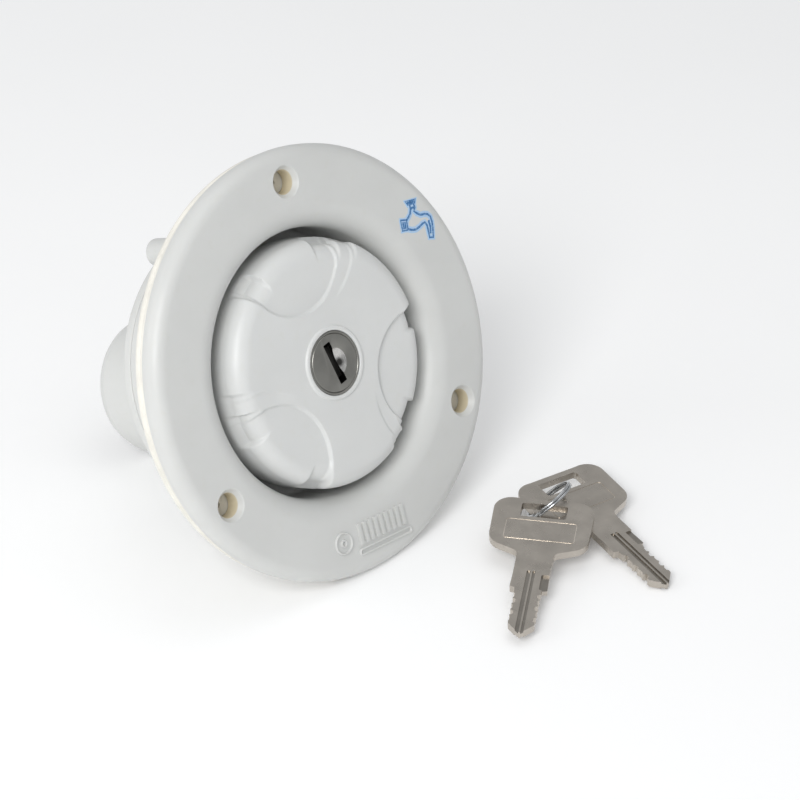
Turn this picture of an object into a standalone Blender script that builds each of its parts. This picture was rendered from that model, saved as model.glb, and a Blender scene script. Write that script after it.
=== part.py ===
"""Lockable recessed deck fill cap with its housing, hose spout, cam lock and two keys.

The fitting is drawn looking at its face: X right, Y towards the top screw, Z out of the panel, in
millimetres. One empty then stands it up as it sits in a vertical panel, so that its face looks along -Y
and the top screw is up. The origin is on the cap's axis, on the face of the panel that the gasket meets.
"""

import bmesh
import bpy
from math import asin, atan, ceil, cos, degrees, pi, radians, sin, sqrt
from mathutils import Matrix, Vector

MM = 0.001
GAP = 0.3  # between pieces that touch
SEGMENTS = 64  # round a large turned piece
SMALL_SEGMENTS = 18  # round a screw or a pin
ARC_STEP = 22.5  # degrees between the points of an edge's rounding
CUT = 0.5  # how far a cutter runs past the face that it opens

# Flange, gasket and recess
FLANGE_R = 60.0
FLANGE_THICK = 5.5
FLANGE_EDGE = 4.0
LIP_ROLL = 7.5
RECESS_R = 37.4
RECESS_DEPTH = 24.0
RECESS_FLOOR = 3.0
DRUM_WALL = 3.2
DRUM_DEPTH = 36.0
GASKET_THICK = 3.5
GASKET_INSET = 0.7
GASKET_GROOVE = 0.6

# Panel screws
PANEL_SCREWS = 3
PANEL_SCREW_CIRCLE_R = 51.1
PANEL_HOLE_R = 2.6
COUNTERSINK_R = 4.25
COUNTERSINK_DEPTH = 2.4

# Filling neck with its bayonet
NECK_BORE_R = 22.0
NECK_WALL = 3.2
NECK_TOP = -2.0
NECK_END = -24.0
LEDGE_BORE_R = 19.3
LEDGE_THICK = 4.0
BAYONET_LUGS = 3
LUG_ANGLE = 34.0
LUG_THICK = 4.0
LUG_REACH = 21.4
LUG_PHASE = 40.0
LUG_CLEARANCE = 0.4
SLOT_SIDE_ANGLE = 4.0  # clear of the lug on each side
BAYONET_TURN = 60.0
AIR_PORT_R = 1.8

# Rear cover with the hose spout and the air nipple
COVER_THICK = 3.2
SPOUT_R = 20.5
SPOUT_WALL = 2.5
SPOUT_DROP = 6.5
SPOUT_LENGTH = 42.0
SPOUT_ROOT = 4.0
SPOUT_LEAD = 1.2
NIPPLE_R = 4.0
NIPPLE_BORE_R = 2.2
NIPPLE_LENGTH = 25.0
NIPPLE_RISE = 33.0
SEAL_RING_R = 0.65
COVER_SCREWS = 4
BOSS_R = 4.0
BOSS_CIRCLE_R = 31.5

# Screws that hold the pieces together: shank radius, head radius, head height
REAR_SCREW = (1.2, 2.9, 2.0)
CAP_SCREW = (1.1, 2.2, 1.8)
CAM_SCREW = (1.5, 3.0, 2.0)
PLATE_SCREW = (0.8, 1.5, 1.2)
SCREW_SLOT = (0.6, 0.7)  # width and depth of the driver slot
CAP_SCREW_BITE = 2.2

# Cap
CAP_R = RECESS_R - 2.9
CAP_PROUD = 2.0
CAP_EDGE = 5.0
CAP_TOP_THICK = 4.0
CAP_WALL = 2.5
CAP_HEIGHT = 15.5
SCALLOPS = 3
SCALLOP_PHASE = 100.5
SCALLOP_CENTRE_R = 33.0
SCALLOP_R = 16.8
SCALLOP_DEPTH = 1.0
GRIP_DEPTH = 2.0
GRIP_HEIGHT = 7.0
GRIP_ZONES = ((19.0, 31.0), (-42.0, -17.0))  # degrees from a scallop's middle
CORE_FLANGE_THICK = 4.1
CORE_R = 18.7
CORE_WALL = 3.3
CORE_ROOF = -3.0
CORE_END = -20.6
CAP_SCREW_CIRCLE_R = CAP_R - 5.5
SEAL_THICK = 3.0
WASHER_THICK = 1.0

# Lock
BARREL_HEAD_R = 9.2
BARREL_PROUD = 0.3
BARREL_R = 8.3
BARREL_END = -12.0
BARREL_FACE_RIM = 0.8
NUT_FLATS = 21.0
NUT_THICK = 3.0
HEAD_SEAL_R = 0.5
PLUG_HEAD_THICK = 2.6
PLUG_R = 6.5
PLUG_END = -12.7
TANG_SIDE = 5.4
CAM_R = 15.0
CAM_THICK = 3.0
KEY_SLOT = (12.2, 2.5)
KEY_SLOT_DEPTH = 21.0
KEY_SLOT_ANGLE = 104.5
KEY_TURN = 90.0
SHUTTER = (9.4, 0.5)  # length and thickness
SHUTTER_SINK = 1.8
SHUTTER_PIN_R = 0.4
HALF_MOON_R = 4.15
HALF_MOON_DEPTH = 0.7
WAFERS = 5
WAFER = (11.8, 5.2, 1.0)  # length, width and thickness
WAFER_WINDOW = (8.6, 2.6)
WAFER_PITCH = 2.6
WAFER_TOP = 4.6
WAFER_TRAVEL = 0.7

# Locking bolts
BOLT_WIDTH = 8.0
BOLT_THICK = 4.0
BOLT_INNER = 5.0
BOLT_TRAVEL = 5.0
BOLT_PIN_R = 1.5
BOLT_PIN_START = 7.0
BOLT_SIDE = 0.4
BOLT_COVER_THICK = 2.0

# Keys and ring, as they lie beside the fitting on the bench
KEY_THICK = 2.2
KEY_MIDDLE = 1.1  # the middle of its thickness, above the plane that it is laid out on
KEY_LENGTH = 58.5
BOW_LENGTH = 21.0
BOW_WIDTH = 27.0
BOW_CORNER = 5.0
SHOULDER_LENGTH = 17.0
SHOULDER_WIDTH = 10.4
BLADE_WIDTH = 7.8
BOW_HOLE = (2 * KEY_THICK + 1.4, 13.0)
BOW_HOLE_IN = 2.4
LABEL = (8.5, 20.0, 0.3)  # the sunk blank panel on the bow: length, width and depth
KEY_LAYS = {  # where the tip lies, which way the key points, its height at the hole and its dip
    "key_a": ((-5.0, -54.4), -146.5, 6.8, 5.0),
    "key_b": ((43.0, -68.6), -104.5, 3.8, 3.9),
}
RING_R = 7.4
RING_WIRE_R = 0.8
RING_AT = (46.8, -20.5, 5.5 + KEY_THICK / 2)
RING_HEADING = 197.8
RING_TILT = 45.5
BENCH_ROLL = 5.0  # how far round its rim the leaning fitting touches the bench

# Heights along the axis that follow from the sizes above
FACE = GASKET_THICK + GAP + FLANGE_THICK
FLANGE_BACK = FACE - FLANGE_THICK
DRUM_R = RECESS_R + DRUM_WALL
DRUM_END = FACE - DRUM_DEPTH
FLOOR_TOP = FACE - RECESS_DEPTH
FLOOR_BACK = FLOOR_TOP - RECESS_FLOOR
NECK_R = NECK_BORE_R + NECK_WALL
LEDGE_BACK = NECK_TOP - LEDGE_THICK
LUG_TOP = LEDGE_BACK - LUG_CLEARANCE
LUG_BACK = LUG_TOP - LUG_THICK
SEAL_TOP = NECK_TOP + GAP + SEAL_THICK
WASHER_TOP = SEAL_TOP + GAP + WASHER_THICK
CORE_FLANGE_BACK = WASHER_TOP + GAP
CORE_TOP = CORE_FLANGE_BACK + CORE_FLANGE_THICK
CAP_TOP = FACE + CAP_PROUD
CAP_BACK = CAP_TOP - CAP_TOP_THICK
CORE_BORE_R = BARREL_R + GAP
CAVITY_R = CORE_R - CORE_WALL
CAM_TOP = PLUG_END - GAP
CAM_BACK = CAM_TOP - CAM_THICK
BOLT_TOP = CAM_BACK - GAP
BOLT_BACK = BOLT_TOP - BOLT_THICK
BOLT_TIP = CORE_R - 0.1
COVER_TOP = DRUM_END - GAP
COVER_BACK = COVER_TOP - COVER_THICK
SPOUT_END = COVER_BACK - SPOUT_LENGTH
PLUG_FACE = CAP_TOP + BARREL_PROUD
PLUG_HEAD_R = BARREL_HEAD_R - BARREL_FACE_RIM - GAP


def clear_scene():
    for thing in list(bpy.data.objects):
        bpy.data.objects.remove(thing, do_unlink=True)


def new_collection(name, hidden=False):
    made = bpy.data.collections.new(name)
    bpy.context.scene.collection.children.link(made)
    made.hide_render = hidden
    return made


def finish(name, rgb, roughness, metallic=0.0):
    made = bpy.data.materials.new(name)
    made.use_nodes = True
    shader = made.node_tree.nodes["Principled BSDF"]
    shader.inputs["Base Color"].default_value = (*rgb, 1.0)
    shader.inputs["Roughness"].default_value = roughness
    shader.inputs["Metallic"].default_value = metallic
    return made


def empty(name, parent=None, at=(0, 0, 0), turn=None):
    made = bpy.data.objects.new(name, None)
    parts.objects.link(made)
    made.parent = parent
    made.location = Vector(at) * MM
    if turn:
        made.rotation_euler = turn
    return made


def place(thing, name, material, parent, cutter):
    """Name an object, give it its finish and its parent, and put it with the parts or the cutters."""
    for old in list(thing.users_collection):
        old.objects.unlink(thing)
    (cutters if cutter else parts).objects.link(thing)
    thing.name = name
    thing.data.name = name
    thing.parent = parent
    if cutter:
        thing.hide_render = True
        thing.display_type = "WIRE"
    else:
        thing.data.materials.append(material)
    return thing


def arc(across, up, radius, start, end):
    """Points of an arc in a turned profile, from start to end degrees."""
    count = max(2, ceil(abs(end - start) / ARC_STEP))
    turns = [radians(start + (end - start) * i / count) for i in range(count + 1)]
    return [(across + radius * cos(t), up + radius * sin(t)) for t in turns]


def turned(name, profile, material=None, parent=None, at=(0, 0), steps=SEGMENTS, cutter=False):
    """A profile of (radius, height) points spun about Z. A profile that leaves the axis is a closed ring."""
    mesh = bpy.data.meshes.new(name)
    on_axis = profile[0][0] == 0 and profile[-1][0] == 0
    edges = [(i, i + 1) for i in range(len(profile) - 1)]
    if not on_axis:
        edges.append((len(profile) - 1, 0))
    mesh.from_pydata([(r * MM, 0, z * MM) for r, z in profile], edges, [])
    thing = bpy.data.objects.new(name, mesh)
    screw = thing.modifiers.new("Spin", "SCREW")
    screw.steps = steps
    screw.render_steps = steps
    screw.use_merge_vertices = True
    screw.merge_threshold = 1e-5
    screw.use_smooth_shade = True
    thing.location = (at[0] * MM, at[1] * MM, 0)
    return place(thing, name, material, parent or frame, cutter)


def rod(name, radius, top, back, material=None, parent=None, at=(0, 0), steps=SMALL_SEGMENTS, cutter=False):
    profile = [(0, top), (radius, top), (radius, back), (0, back)]
    return turned(name, profile, material, parent, at, steps, cutter)


def ring(name, inner, outer, top, back, material=None, parent=None, cutter=False):
    profile = [(inner, top), (outer, top), (outer, back), (inner, back)]
    return turned(name, profile, material, parent, cutter=cutter)


def plate(name, outlines, top, back, material=None, parent=None, turn=0.0, cutter=False):
    """Flat outlines, the first one outside and the rest holes, given a thickness from back to top."""
    curve = bpy.data.curves.new(name, "CURVE")
    curve.dimensions = "2D"
    curve.fill_mode = "BOTH"
    curve.extrude = (top - back) / 2 * MM
    for outline in outlines:
        spline = curve.splines.new("POLY")
        spline.points.add(len(outline) - 1)
        for point, (x, y) in zip(spline.points, outline):
            point.co = (x * MM, y * MM, 0, 1)
        spline.use_cyclic_u = True
    guide = bpy.data.objects.new(name + "_outline", curve)
    bpy.context.scene.collection.objects.link(guide)
    graph = bpy.context.evaluated_depsgraph_get()
    mesh = bpy.data.meshes.new_from_object(guide.evaluated_get(graph))
    bpy.data.objects.remove(guide, do_unlink=True)
    mesh.transform(Matrix.Rotation(radians(turn), 4, "Z"))
    mesh.transform(Matrix.Translation((0, 0, (top + back) / 2 * MM)))
    shape = bmesh.new()
    shape.from_mesh(mesh)
    bmesh.ops.remove_doubles(shape, verts=shape.verts, dist=1e-6)
    bmesh.ops.recalc_face_normals(shape, faces=shape.faces)
    shape.to_mesh(mesh)
    shape.free()
    mesh.materials.clear()
    return place(bpy.data.objects.new(name, mesh), name, material, parent or frame, cutter)


def box(name, size, middle, material=None, parent=None, turn=0.0, cutter=False):
    """A box with its middle given before it is turned about Z."""
    bpy.ops.mesh.primitive_cube_add(size=1)
    thing = bpy.context.object
    shape = Matrix.Rotation(radians(turn), 4, "Z") @ Matrix.Translation(Vector(middle) * MM)
    thing.data.transform(shape @ Matrix.Diagonal((*(Vector(size) * MM), 1)))
    return place(thing, name, material, parent or frame, cutter)


def torus(name, major, minor, height, material, parent=None, turn=None, at=(0, 0)):
    bpy.ops.mesh.primitive_torus_add(
        major_radius=major * MM, minor_radius=minor * MM, major_segments=48, minor_segments=8
    )
    thing = bpy.context.object
    thing.location = (at[0] * MM, at[1] * MM, height * MM)
    if turn:
        thing.rotation_euler = turn
    for face in thing.data.polygons:
        face.use_smooth = True
    return place(thing, name, material, parent or frame, False)


def combine(thing, others, operation="DIFFERENCE"):
    for other in others:
        change = thing.modifiers.new(other.name, "BOOLEAN")
        change.operation = operation
        change.object = other
        change.solver = "EXACT"
    return thing


def polar(radius, turn):
    return (radius * cos(radians(turn)), radius * sin(radians(turn)))


def sector(inner, outer, start, end):
    """An outline between two radii, from start to end degrees."""
    count = max(2, ceil((end - start) / 6))
    turns = [start + (end - start) * i / count for i in range(count + 1)]
    return [polar(outer, t) for t in turns] + [polar(inner, t) for t in reversed(turns)]


def rectangle(length, width, middle=(0, 0)):
    x, y = middle
    corners = ((-1, -1), (1, -1), (1, 1), (-1, 1))
    return [(x + i * length / 2, y + j * width / 2) for i, j in corners]


def lug_turns():
    return [LUG_PHASE + 360 / BAYONET_LUGS * i for i in range(BAYONET_LUGS)]


def bolt_turns():
    return [KEY_SLOT_ANGLE, KEY_SLOT_ANGLE + 180]


def cover_screw_turns():
    return [360 / COVER_SCREWS * (i + 0.5) for i in range(COVER_SCREWS)]


def cap_screw_turns():
    return [SCALLOP_PHASE + 60 + 120 * i for i in range(3)]


def make_screw(name, sizes, seat, tip, at, parent, up=1):
    """A pan-head screw driven from behind: its head's face is at seat and its shank ends at tip."""
    shank, head, height = sizes
    crown = height * 0.35
    foot = seat - height
    profile = [(0, tip), (shank, tip), (shank, seat), (head, seat), (head, foot + crown)]
    profile += [(head - crown, foot), (0, foot)]
    made = turned(name, profile, steel, parent, at, SMALL_SEGMENTS)
    width, depth = SCREW_SLOT
    slot = box(name + "_slot", (head * 3, width, depth + CUT), (0, 0, foot + (depth - CUT) / 2), cutter=True)
    slot.location = (at[0] * MM, at[1] * MM, 0)
    slot.parent = parent
    return combine(made, [slot])


def make_housing():
    lip = FACE - LIP_ROLL
    edge = FLANGE_R - FLANGE_EDGE
    profile = arc(edge, FACE - FLANGE_EDGE, FLANGE_EDGE, 90, 0)
    profile += [(FLANGE_R, FLANGE_BACK), (DRUM_R, FLANGE_BACK), (DRUM_R, DRUM_END)]
    profile += [(RECESS_R, DRUM_END), (RECESS_R, FLOOR_BACK), (NECK_R, FLOOR_BACK), (NECK_R, NECK_END)]
    profile += [(NECK_BORE_R, NECK_END), (NECK_BORE_R, LEDGE_BACK), (LEDGE_BORE_R, LEDGE_BACK)]
    profile += [(LEDGE_BORE_R, NECK_TOP), (NECK_R, NECK_TOP), (NECK_R, FLOOR_TOP), (RECESS_R, FLOOR_TOP)]
    profile += arc(RECESS_R + LIP_ROLL, lip, LIP_ROLL, 180, 90)
    housing = turned("flange_housing", profile, white)
    added = []
    for i, turn in enumerate(cover_screw_turns()):
        at = polar(BOSS_CIRCLE_R, turn)
        added.append(rod(f"boss_{i}", BOSS_R, FLOOR_BACK + CUT, DRUM_END, at=at, cutter=True))
    combine(housing, added, "UNION")
    cuts = []
    for i in range(PANEL_SCREWS):
        at = polar(PANEL_SCREW_CIRCLE_R, 90 + 360 / PANEL_SCREWS * i)
        sink = [(0, FACE + CUT), (COUNTERSINK_R + CUT * 0.7, FACE + CUT)]
        sink += [(PANEL_HOLE_R, FACE - COUNTERSINK_DEPTH), (PANEL_HOLE_R, FLANGE_BACK - CUT)]
        sink += [(0, FLANGE_BACK - CUT)]
        cuts.append(turned(f"panel_hole_{i}", sink, at=at, steps=SMALL_SEGMENTS, cutter=True))
    for i, turn in enumerate(cover_screw_turns()):
        at = polar(BOSS_CIRCLE_R, turn)
        bottom = DRUM_END + REAR_SCREW[0] * 5
        cuts.append(rod(f"boss_hole_{i}", REAR_SCREW[0] + GAP, bottom, DRUM_END - CUT, at=at, cutter=True))
    half = LUG_ANGLE / 2 + SLOT_SIDE_ANGLE
    for i, turn in enumerate(lug_turns()):
        outline = sector(LEDGE_BORE_R - 2, NECK_BORE_R + 0.2, turn - half, turn + half)
        cuts.append(plate(f"lug_slot_{i}", [outline], NECK_TOP + CUT, LEDGE_BACK - CUT, cutter=True))
    height = BOLT_THICK + 4 * GAP
    size = (NECK_WALL + 2, BOLT_WIDTH + 4 * BOLT_SIDE, height)
    middle = (NECK_BORE_R + NECK_WALL / 2, 0, (BOLT_TOP + BOLT_BACK) / 2)
    for i, start in enumerate(bolt_turns()):
        for j, turn in enumerate((start, start - BAYONET_TURN)):
            cuts.append(box(f"bolt_window_{i}_{j}", size, middle, turn=turn, cutter=True))
    at = (0, (NECK_R + RECESS_R) / 2)
    cuts.append(rod("air_port", AIR_PORT_R, FLOOR_TOP + CUT, FLOOR_BACK - CUT, at=at, cutter=True))
    return combine(housing, cuts)


def make_gasket():
    outer = FLANGE_R - GASKET_INSET
    groove = GASKET_THICK / 2
    profile = [(DRUM_R + GAP, GASKET_THICK), (outer, GASKET_THICK), (outer, groove + GASKET_GROOVE)]
    profile += [(outer - GASKET_GROOVE, groove), (outer, groove - GASKET_GROOVE)]
    profile += [(outer, 0), (DRUM_R + GAP, 0)]
    gasket = turned("flange_gasket", profile, cream)
    holes = []
    for i in range(PANEL_SCREWS):
        at = polar(PANEL_SCREW_CIRCLE_R, 90 + 360 / PANEL_SCREWS * i)
        holes.append(rod(f"gasket_hole_{i}", PANEL_HOLE_R, GASKET_THICK + CUT, -CUT, at=at, cutter=True))
    return combine(gasket, holes)


def make_spout():
    middle = (0, -SPOUT_DROP)
    groove_r = (DRUM_R + RECESS_R) / 2
    half = SEAL_RING_R + GAP
    floor = COVER_TOP - 2 * SEAL_RING_R - GAP
    profile = [(0, COVER_TOP), (groove_r - half, COVER_TOP), (groove_r - half, floor)]
    profile += [(groove_r + half, floor), (groove_r + half, COVER_TOP), (DRUM_R, COVER_TOP)]
    profile += [(DRUM_R, COVER_BACK), (0, COVER_BACK)]
    spout = turned("spout_body", profile, white)
    start = COVER_BACK + COVER_THICK / 2
    pipe = [(0, start), (SPOUT_R + SPOUT_ROOT, start)]
    pipe += arc(SPOUT_R + SPOUT_ROOT, COVER_BACK + GAP - SPOUT_ROOT, SPOUT_ROOT, 90, 180)
    pipe += [(SPOUT_R, SPOUT_END + SPOUT_LEAD * 2), (SPOUT_R - SPOUT_LEAD, SPOUT_END), (0, SPOUT_END)]
    nipple = rod("nipple", NIPPLE_R, start, COVER_BACK - NIPPLE_LENGTH, at=(0, NIPPLE_RISE), cutter=True)
    combine(spout, [turned("pipe", pipe, at=middle, steps=60, cutter=True), nipple], "UNION")
    bore = SPOUT_R - SPOUT_WALL
    cuts = [rod("spout_bore", bore, COVER_TOP + CUT, SPOUT_END - CUT, at=middle, steps=60, cutter=True)]
    back = COVER_BACK - NIPPLE_LENGTH - CUT
    cuts.append(rod("nipple_bore", NIPPLE_BORE_R, COVER_TOP + CUT, back, at=(0, NIPPLE_RISE), cutter=True))
    for i, turn in enumerate(cover_screw_turns()):
        at = polar(BOSS_CIRCLE_R, turn)
        hole = REAR_SCREW[0] + GAP
        cuts.append(rod(f"cover_hole_{i}", hole, COVER_TOP + CUT, COVER_BACK - CUT, at=at, cutter=True))
    combine(spout, cuts)
    torus("spout_o_ring", groove_r, SEAL_RING_R, COVER_TOP - SEAL_RING_R, rubber)
    for i, turn in enumerate(cover_screw_turns()):
        at = polar(BOSS_CIRCLE_R, turn)
        tip = DRUM_END + REAR_SCREW[0] * 5 - GAP
        make_screw(f"rear_screw_{i + 1}", REAR_SCREW, COVER_BACK - GAP, tip, at, frame)


def make_cap_shell(parent):
    side = CAP_R - CAP_EDGE
    bottom = CAP_TOP - CAP_HEIGHT
    hole = BARREL_HEAD_R + GAP
    profile = [(hole, CAP_TOP)] + arc(side, CAP_TOP - CAP_EDGE, CAP_EDGE, 90, 0)
    profile += [(CAP_R, bottom), (CAP_R - CAP_WALL, bottom), (CAP_R - CAP_WALL, CAP_BACK), (hole, CAP_BACK)]
    shell = turned("cap_shell", profile, white, parent)
    cuts = []
    for i in range(SCALLOPS):
        middle = SCALLOP_PHASE + 360 / SCALLOPS * i
        at = polar(SCALLOP_CENTRE_R, middle)
        floor = CAP_TOP - SCALLOP_DEPTH
        cuts.append(rod(f"scallop_{i}", SCALLOP_R, CAP_TOP + CUT, floor, at=at, steps=64, cutter=True))
        for j, (start, end) in enumerate(GRIP_ZONES):
            outline = sector(CAP_R - GRIP_DEPTH, CAP_R + 2, middle + start, middle + end)
            low = CAP_TOP - GRIP_HEIGHT
            cuts.append(plate(f"grip_{i}_{j}", [outline], CAP_TOP + CUT, low, cutter=True))
    for i, turn in enumerate(cap_screw_turns()):
        at = polar(CAP_SCREW_CIRCLE_R, turn)
        deep = CAP_BACK + CAP_SCREW_BITE + GAP
        cuts.append(rod(f"shell_hole_{i}", CAP_SCREW[0] + GAP, deep, CAP_BACK - CUT, at=at, cutter=True))
    return combine(shell, cuts)


def make_cap_core(parent):
    outer = CAP_R - CAP_WALL - GAP
    seat = CORE_TOP - 2 * HEAD_SEAL_R - GAP
    profile = [(outer, CORE_TOP), (outer, CORE_FLANGE_BACK), (CORE_R, CORE_FLANGE_BACK)]
    profile += [(CORE_R, CORE_END), (CAVITY_R, CORE_END), (CAVITY_R, CORE_ROOF), (CORE_BORE_R, CORE_ROOF)]
    profile += [(CORE_BORE_R, seat), (head_seal_circle() + HEAD_SEAL_R + GAP, seat)]
    profile += [(head_seal_circle() + HEAD_SEAL_R + GAP, CORE_TOP)]
    core = turned("cap_core", profile, white, parent)
    lugs = []
    for i, turn in enumerate(lug_turns()):
        outline = sector(CORE_R - 1, LUG_REACH, turn - LUG_ANGLE / 2, turn + LUG_ANGLE / 2)
        lugs.append(plate(f"lug_{i}", [outline], LUG_TOP, LUG_BACK, cutter=True))
    combine(core, lugs, "UNION")
    cuts = []
    length = CORE_WALL + 2
    size = (length, BOLT_WIDTH + 2 * BOLT_SIDE, BOLT_TOP + GAP - CORE_END + CUT)
    middle = (CAVITY_R + CORE_WALL / 2, 0, (BOLT_TOP + GAP + CORE_END - CUT) / 2)
    for i, turn in enumerate(bolt_turns()):
        cuts.append(box(f"core_window_{i}", size, middle, turn=turn, cutter=True))
    for i, turn in enumerate(cap_screw_turns()):
        at = polar(CAP_SCREW_CIRCLE_R, turn)
        hole = CAP_SCREW[0] + GAP
        cuts.append(rod(f"core_hole_{i}", hole, CORE_TOP + CUT, CORE_FLANGE_BACK - CUT, at=at, cutter=True))
    for i, turn in enumerate(plate_screw_turns()):
        at = polar(CORE_R - CORE_WALL / 2, turn)
        hole = PLATE_SCREW[0] + GAP
        deep = CORE_END + PLATE_SCREW[0] * 6
        cuts.append(rod(f"thread_hole_{i}", hole, deep, CORE_END - CUT, at=at, cutter=True))
    return combine(core, cuts)


def head_seal_circle():
    return BARREL_R + GAP + HEAD_SEAL_R + 0.05


def plate_screw_turns():
    return [KEY_SLOT_ANGLE + 90, KEY_SLOT_ANGLE + 270]


def make_cap_fasteners(parent):
    for i, turn in enumerate(cap_screw_turns()):
        at = polar(CAP_SCREW_CIRCLE_R, turn)
        seat, tip = CORE_FLANGE_BACK - GAP, CAP_BACK + CAP_SCREW_BITE
        make_screw(f"cap_screw_{i + 1}", CAP_SCREW, seat, tip, at, parent)
    top = CORE_END - GAP
    back = top - BOLT_COVER_THICK
    cover = rod("bolt_cover", CORE_R, top, back, white, parent, steps=48)
    holes = []
    for i, turn in enumerate(plate_screw_turns()):
        at = polar(CORE_R - CORE_WALL / 2, turn)
        hole = PLATE_SCREW[0] + GAP
        holes.append(rod(f"bolt_cover_hole_{i}", hole, top + CUT, back - CUT, at=at, cutter=True))
        tip = CORE_END + PLATE_SCREW[0] * 6 - GAP
        make_screw(f"cover_screw_{i + 1}", PLATE_SCREW, back - GAP, tip, at, parent)
    combine(cover, holes)


def make_seals(parent):
    profile = [(LEDGE_BORE_R, SEAL_TOP), (NECK_R, SEAL_TOP), (NECK_R, NECK_TOP + GAP)]
    profile += [(LEDGE_BORE_R, NECK_TOP + GAP)]
    turned("cap_seal", profile, rubber, parent)
    ring("slip_washer", LEDGE_BORE_R, NECK_R, WASHER_TOP, SEAL_TOP + GAP, acetal, parent)


def make_barrel(parent):
    under = CORE_TOP + GAP
    counterbore = PLUG_FACE - PLUG_HEAD_THICK - GAP
    rim = PLUG_HEAD_R + GAP
    bore = PLUG_R + GAP
    profile = [(rim, PLUG_FACE), (BARREL_HEAD_R, PLUG_FACE), (BARREL_HEAD_R, under), (BARREL_R, under)]
    profile += [(BARREL_R, BARREL_END), (bore, BARREL_END), (bore, counterbore), (rim, counterbore)]
    barrel = turned("lock_barrel", profile, nickel, parent, steps=48)
    length, width, thick = WAFER
    reach = length + 2 * WAFER_TRAVEL + 4 * GAP
    low = wafer_height(WAFERS - 1) - 2
    high = wafer_height(0) + 2
    for i in range(2):
        size = (reach, width + 2 * GAP, high - low)
        middle = (0, 0, (high + low) / 2)
        turn = KEY_SLOT_ANGLE + 90 * i
        combine(barrel, [box(f"wafer_groove_{i}", size, middle, turn=turn, cutter=True)])
    torus("barrel_o_ring", head_seal_circle(), HEAD_SEAL_R, CORE_TOP - HEAD_SEAL_R, rubber, parent)
    corner = NUT_FLATS / sqrt(3)
    hexagon = [polar(corner, 60 * i) for i in range(6)]
    hole = [polar(BARREL_R + GAP, 10 * i) for i in range(36)]
    top = CORE_ROOF - GAP
    plate("barrel_nut", [hexagon, hole], top, top - NUT_THICK, steel, parent)


def wafer_height(i):
    return WAFER_TOP - WAFER_PITCH * i


def make_plug(parent):
    bore = CAM_SCREW[0] + GAP
    head_back = PLUG_FACE - PLUG_HEAD_THICK
    profile = [(0, PLUG_FACE), (PLUG_HEAD_R, PLUG_FACE), (PLUG_HEAD_R, head_back), (PLUG_R, head_back)]
    profile += [(PLUG_R, PLUG_END), (0, PLUG_END)]
    plug = turned("lock_plug", profile, nickel, parent, steps=48)
    side = TANG_SIDE
    tang = box("tang", (side, side, PLUG_END + 1 - CAM_BACK), (0, 0, (PLUG_END + 1 + CAM_BACK) / 2), cutter=True)
    combine(plug, [tang], "UNION")
    length, width = KEY_SLOT
    cuts = []
    moon_half = HALF_MOON_R
    moon = [polar(moon_half, -90 + 15 * i) for i in range(13)]
    floor = PLUG_FACE - HALF_MOON_DEPTH
    turn = KEY_SLOT_ANGLE - 90
    cuts.append(plate("half_moon", [moon], PLUG_FACE + CUT, floor, turn=turn, cutter=True))
    middle = (0, 0, PLUG_FACE + (CUT - KEY_SLOT_DEPTH) / 2)
    size = (length, width, KEY_SLOT_DEPTH + CUT)
    cuts.append(box("key_slot", size, middle, turn=KEY_SLOT_ANGLE, cutter=True))
    pocket_width = width + 2 * SHUTTER_PIN_R + 2 * GAP
    pocket = (SHUTTER[0] + 2 * GAP, pocket_width, width + 1.6)
    aside = -width / 2 - SHUTTER_PIN_R
    middle = (0, aside, shutter_height() + SHUTTER_PIN_R + GAP - pocket[2] / 2)
    cuts.append(box("shutter_pocket", pocket, middle, turn=KEY_SLOT_ANGLE, cutter=True))
    across, wide, thick = WAFER
    for i in range(WAFERS):
        size = (2 * PLUG_R + 2, wide + 2 * GAP, thick + 2 * GAP)
        middle = (0, 0, wafer_height(i) - thick / 2)
        cuts.append(box(f"wafer_slot_{i}", size, middle, turn=KEY_SLOT_ANGLE, cutter=True))
    cuts.append(rod("cam_screw_hole", bore, CAM_BACK + 6, CAM_BACK - CUT, cutter=True))
    combine(plug, cuts)
    make_screw("cam_screw", CAM_SCREW, CAM_BACK - GAP, CAM_BACK + 6 - GAP, (0, 0), parent)


def shutter_height():
    return PLUG_FACE - SHUTTER_SINK


def make_shutter(parent):
    """A flap across the keyway, hinged along the slot's edge, so that it swings down beside the key."""
    length, thick = SHUTTER
    width = KEY_SLOT[1]
    pivot = (0, -(width / 2 + SHUTTER_PIN_R / 2))
    hinge = empty("shutter_axis", parent, turn=(0, 0, radians(KEY_SLOT_ANGLE)))
    hinge_at = empty("shutter_hinge", hinge, at=(*pivot, shutter_height()))
    flap = box("slot_shutter", (length, width, thick), (0, width / 2 - SHUTTER_PIN_R / 2, 0), nickel, hinge_at)
    pin = rod("shutter_pin", SHUTTER_PIN_R, length / 2, -length / 2, steps=12, cutter=True)
    pin.data.transform(Matrix.Rotation(radians(90), 4, "Y"))
    pin.modifiers["Spin"].axis = "X"
    pin.parent = hinge_at
    return combine(flap, [pin], "UNION")


def make_wafers(parent):
    for i in range(WAFERS):
        length, width, thick = WAFER
        window = rectangle(*WAFER_WINDOW)
        top = wafer_height(i)
        outline = rectangle(length, width)
        plate(f"wafer_{i + 1}", [outline, window], top, top - thick, brass, parent, KEY_SLOT_ANGLE)


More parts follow.
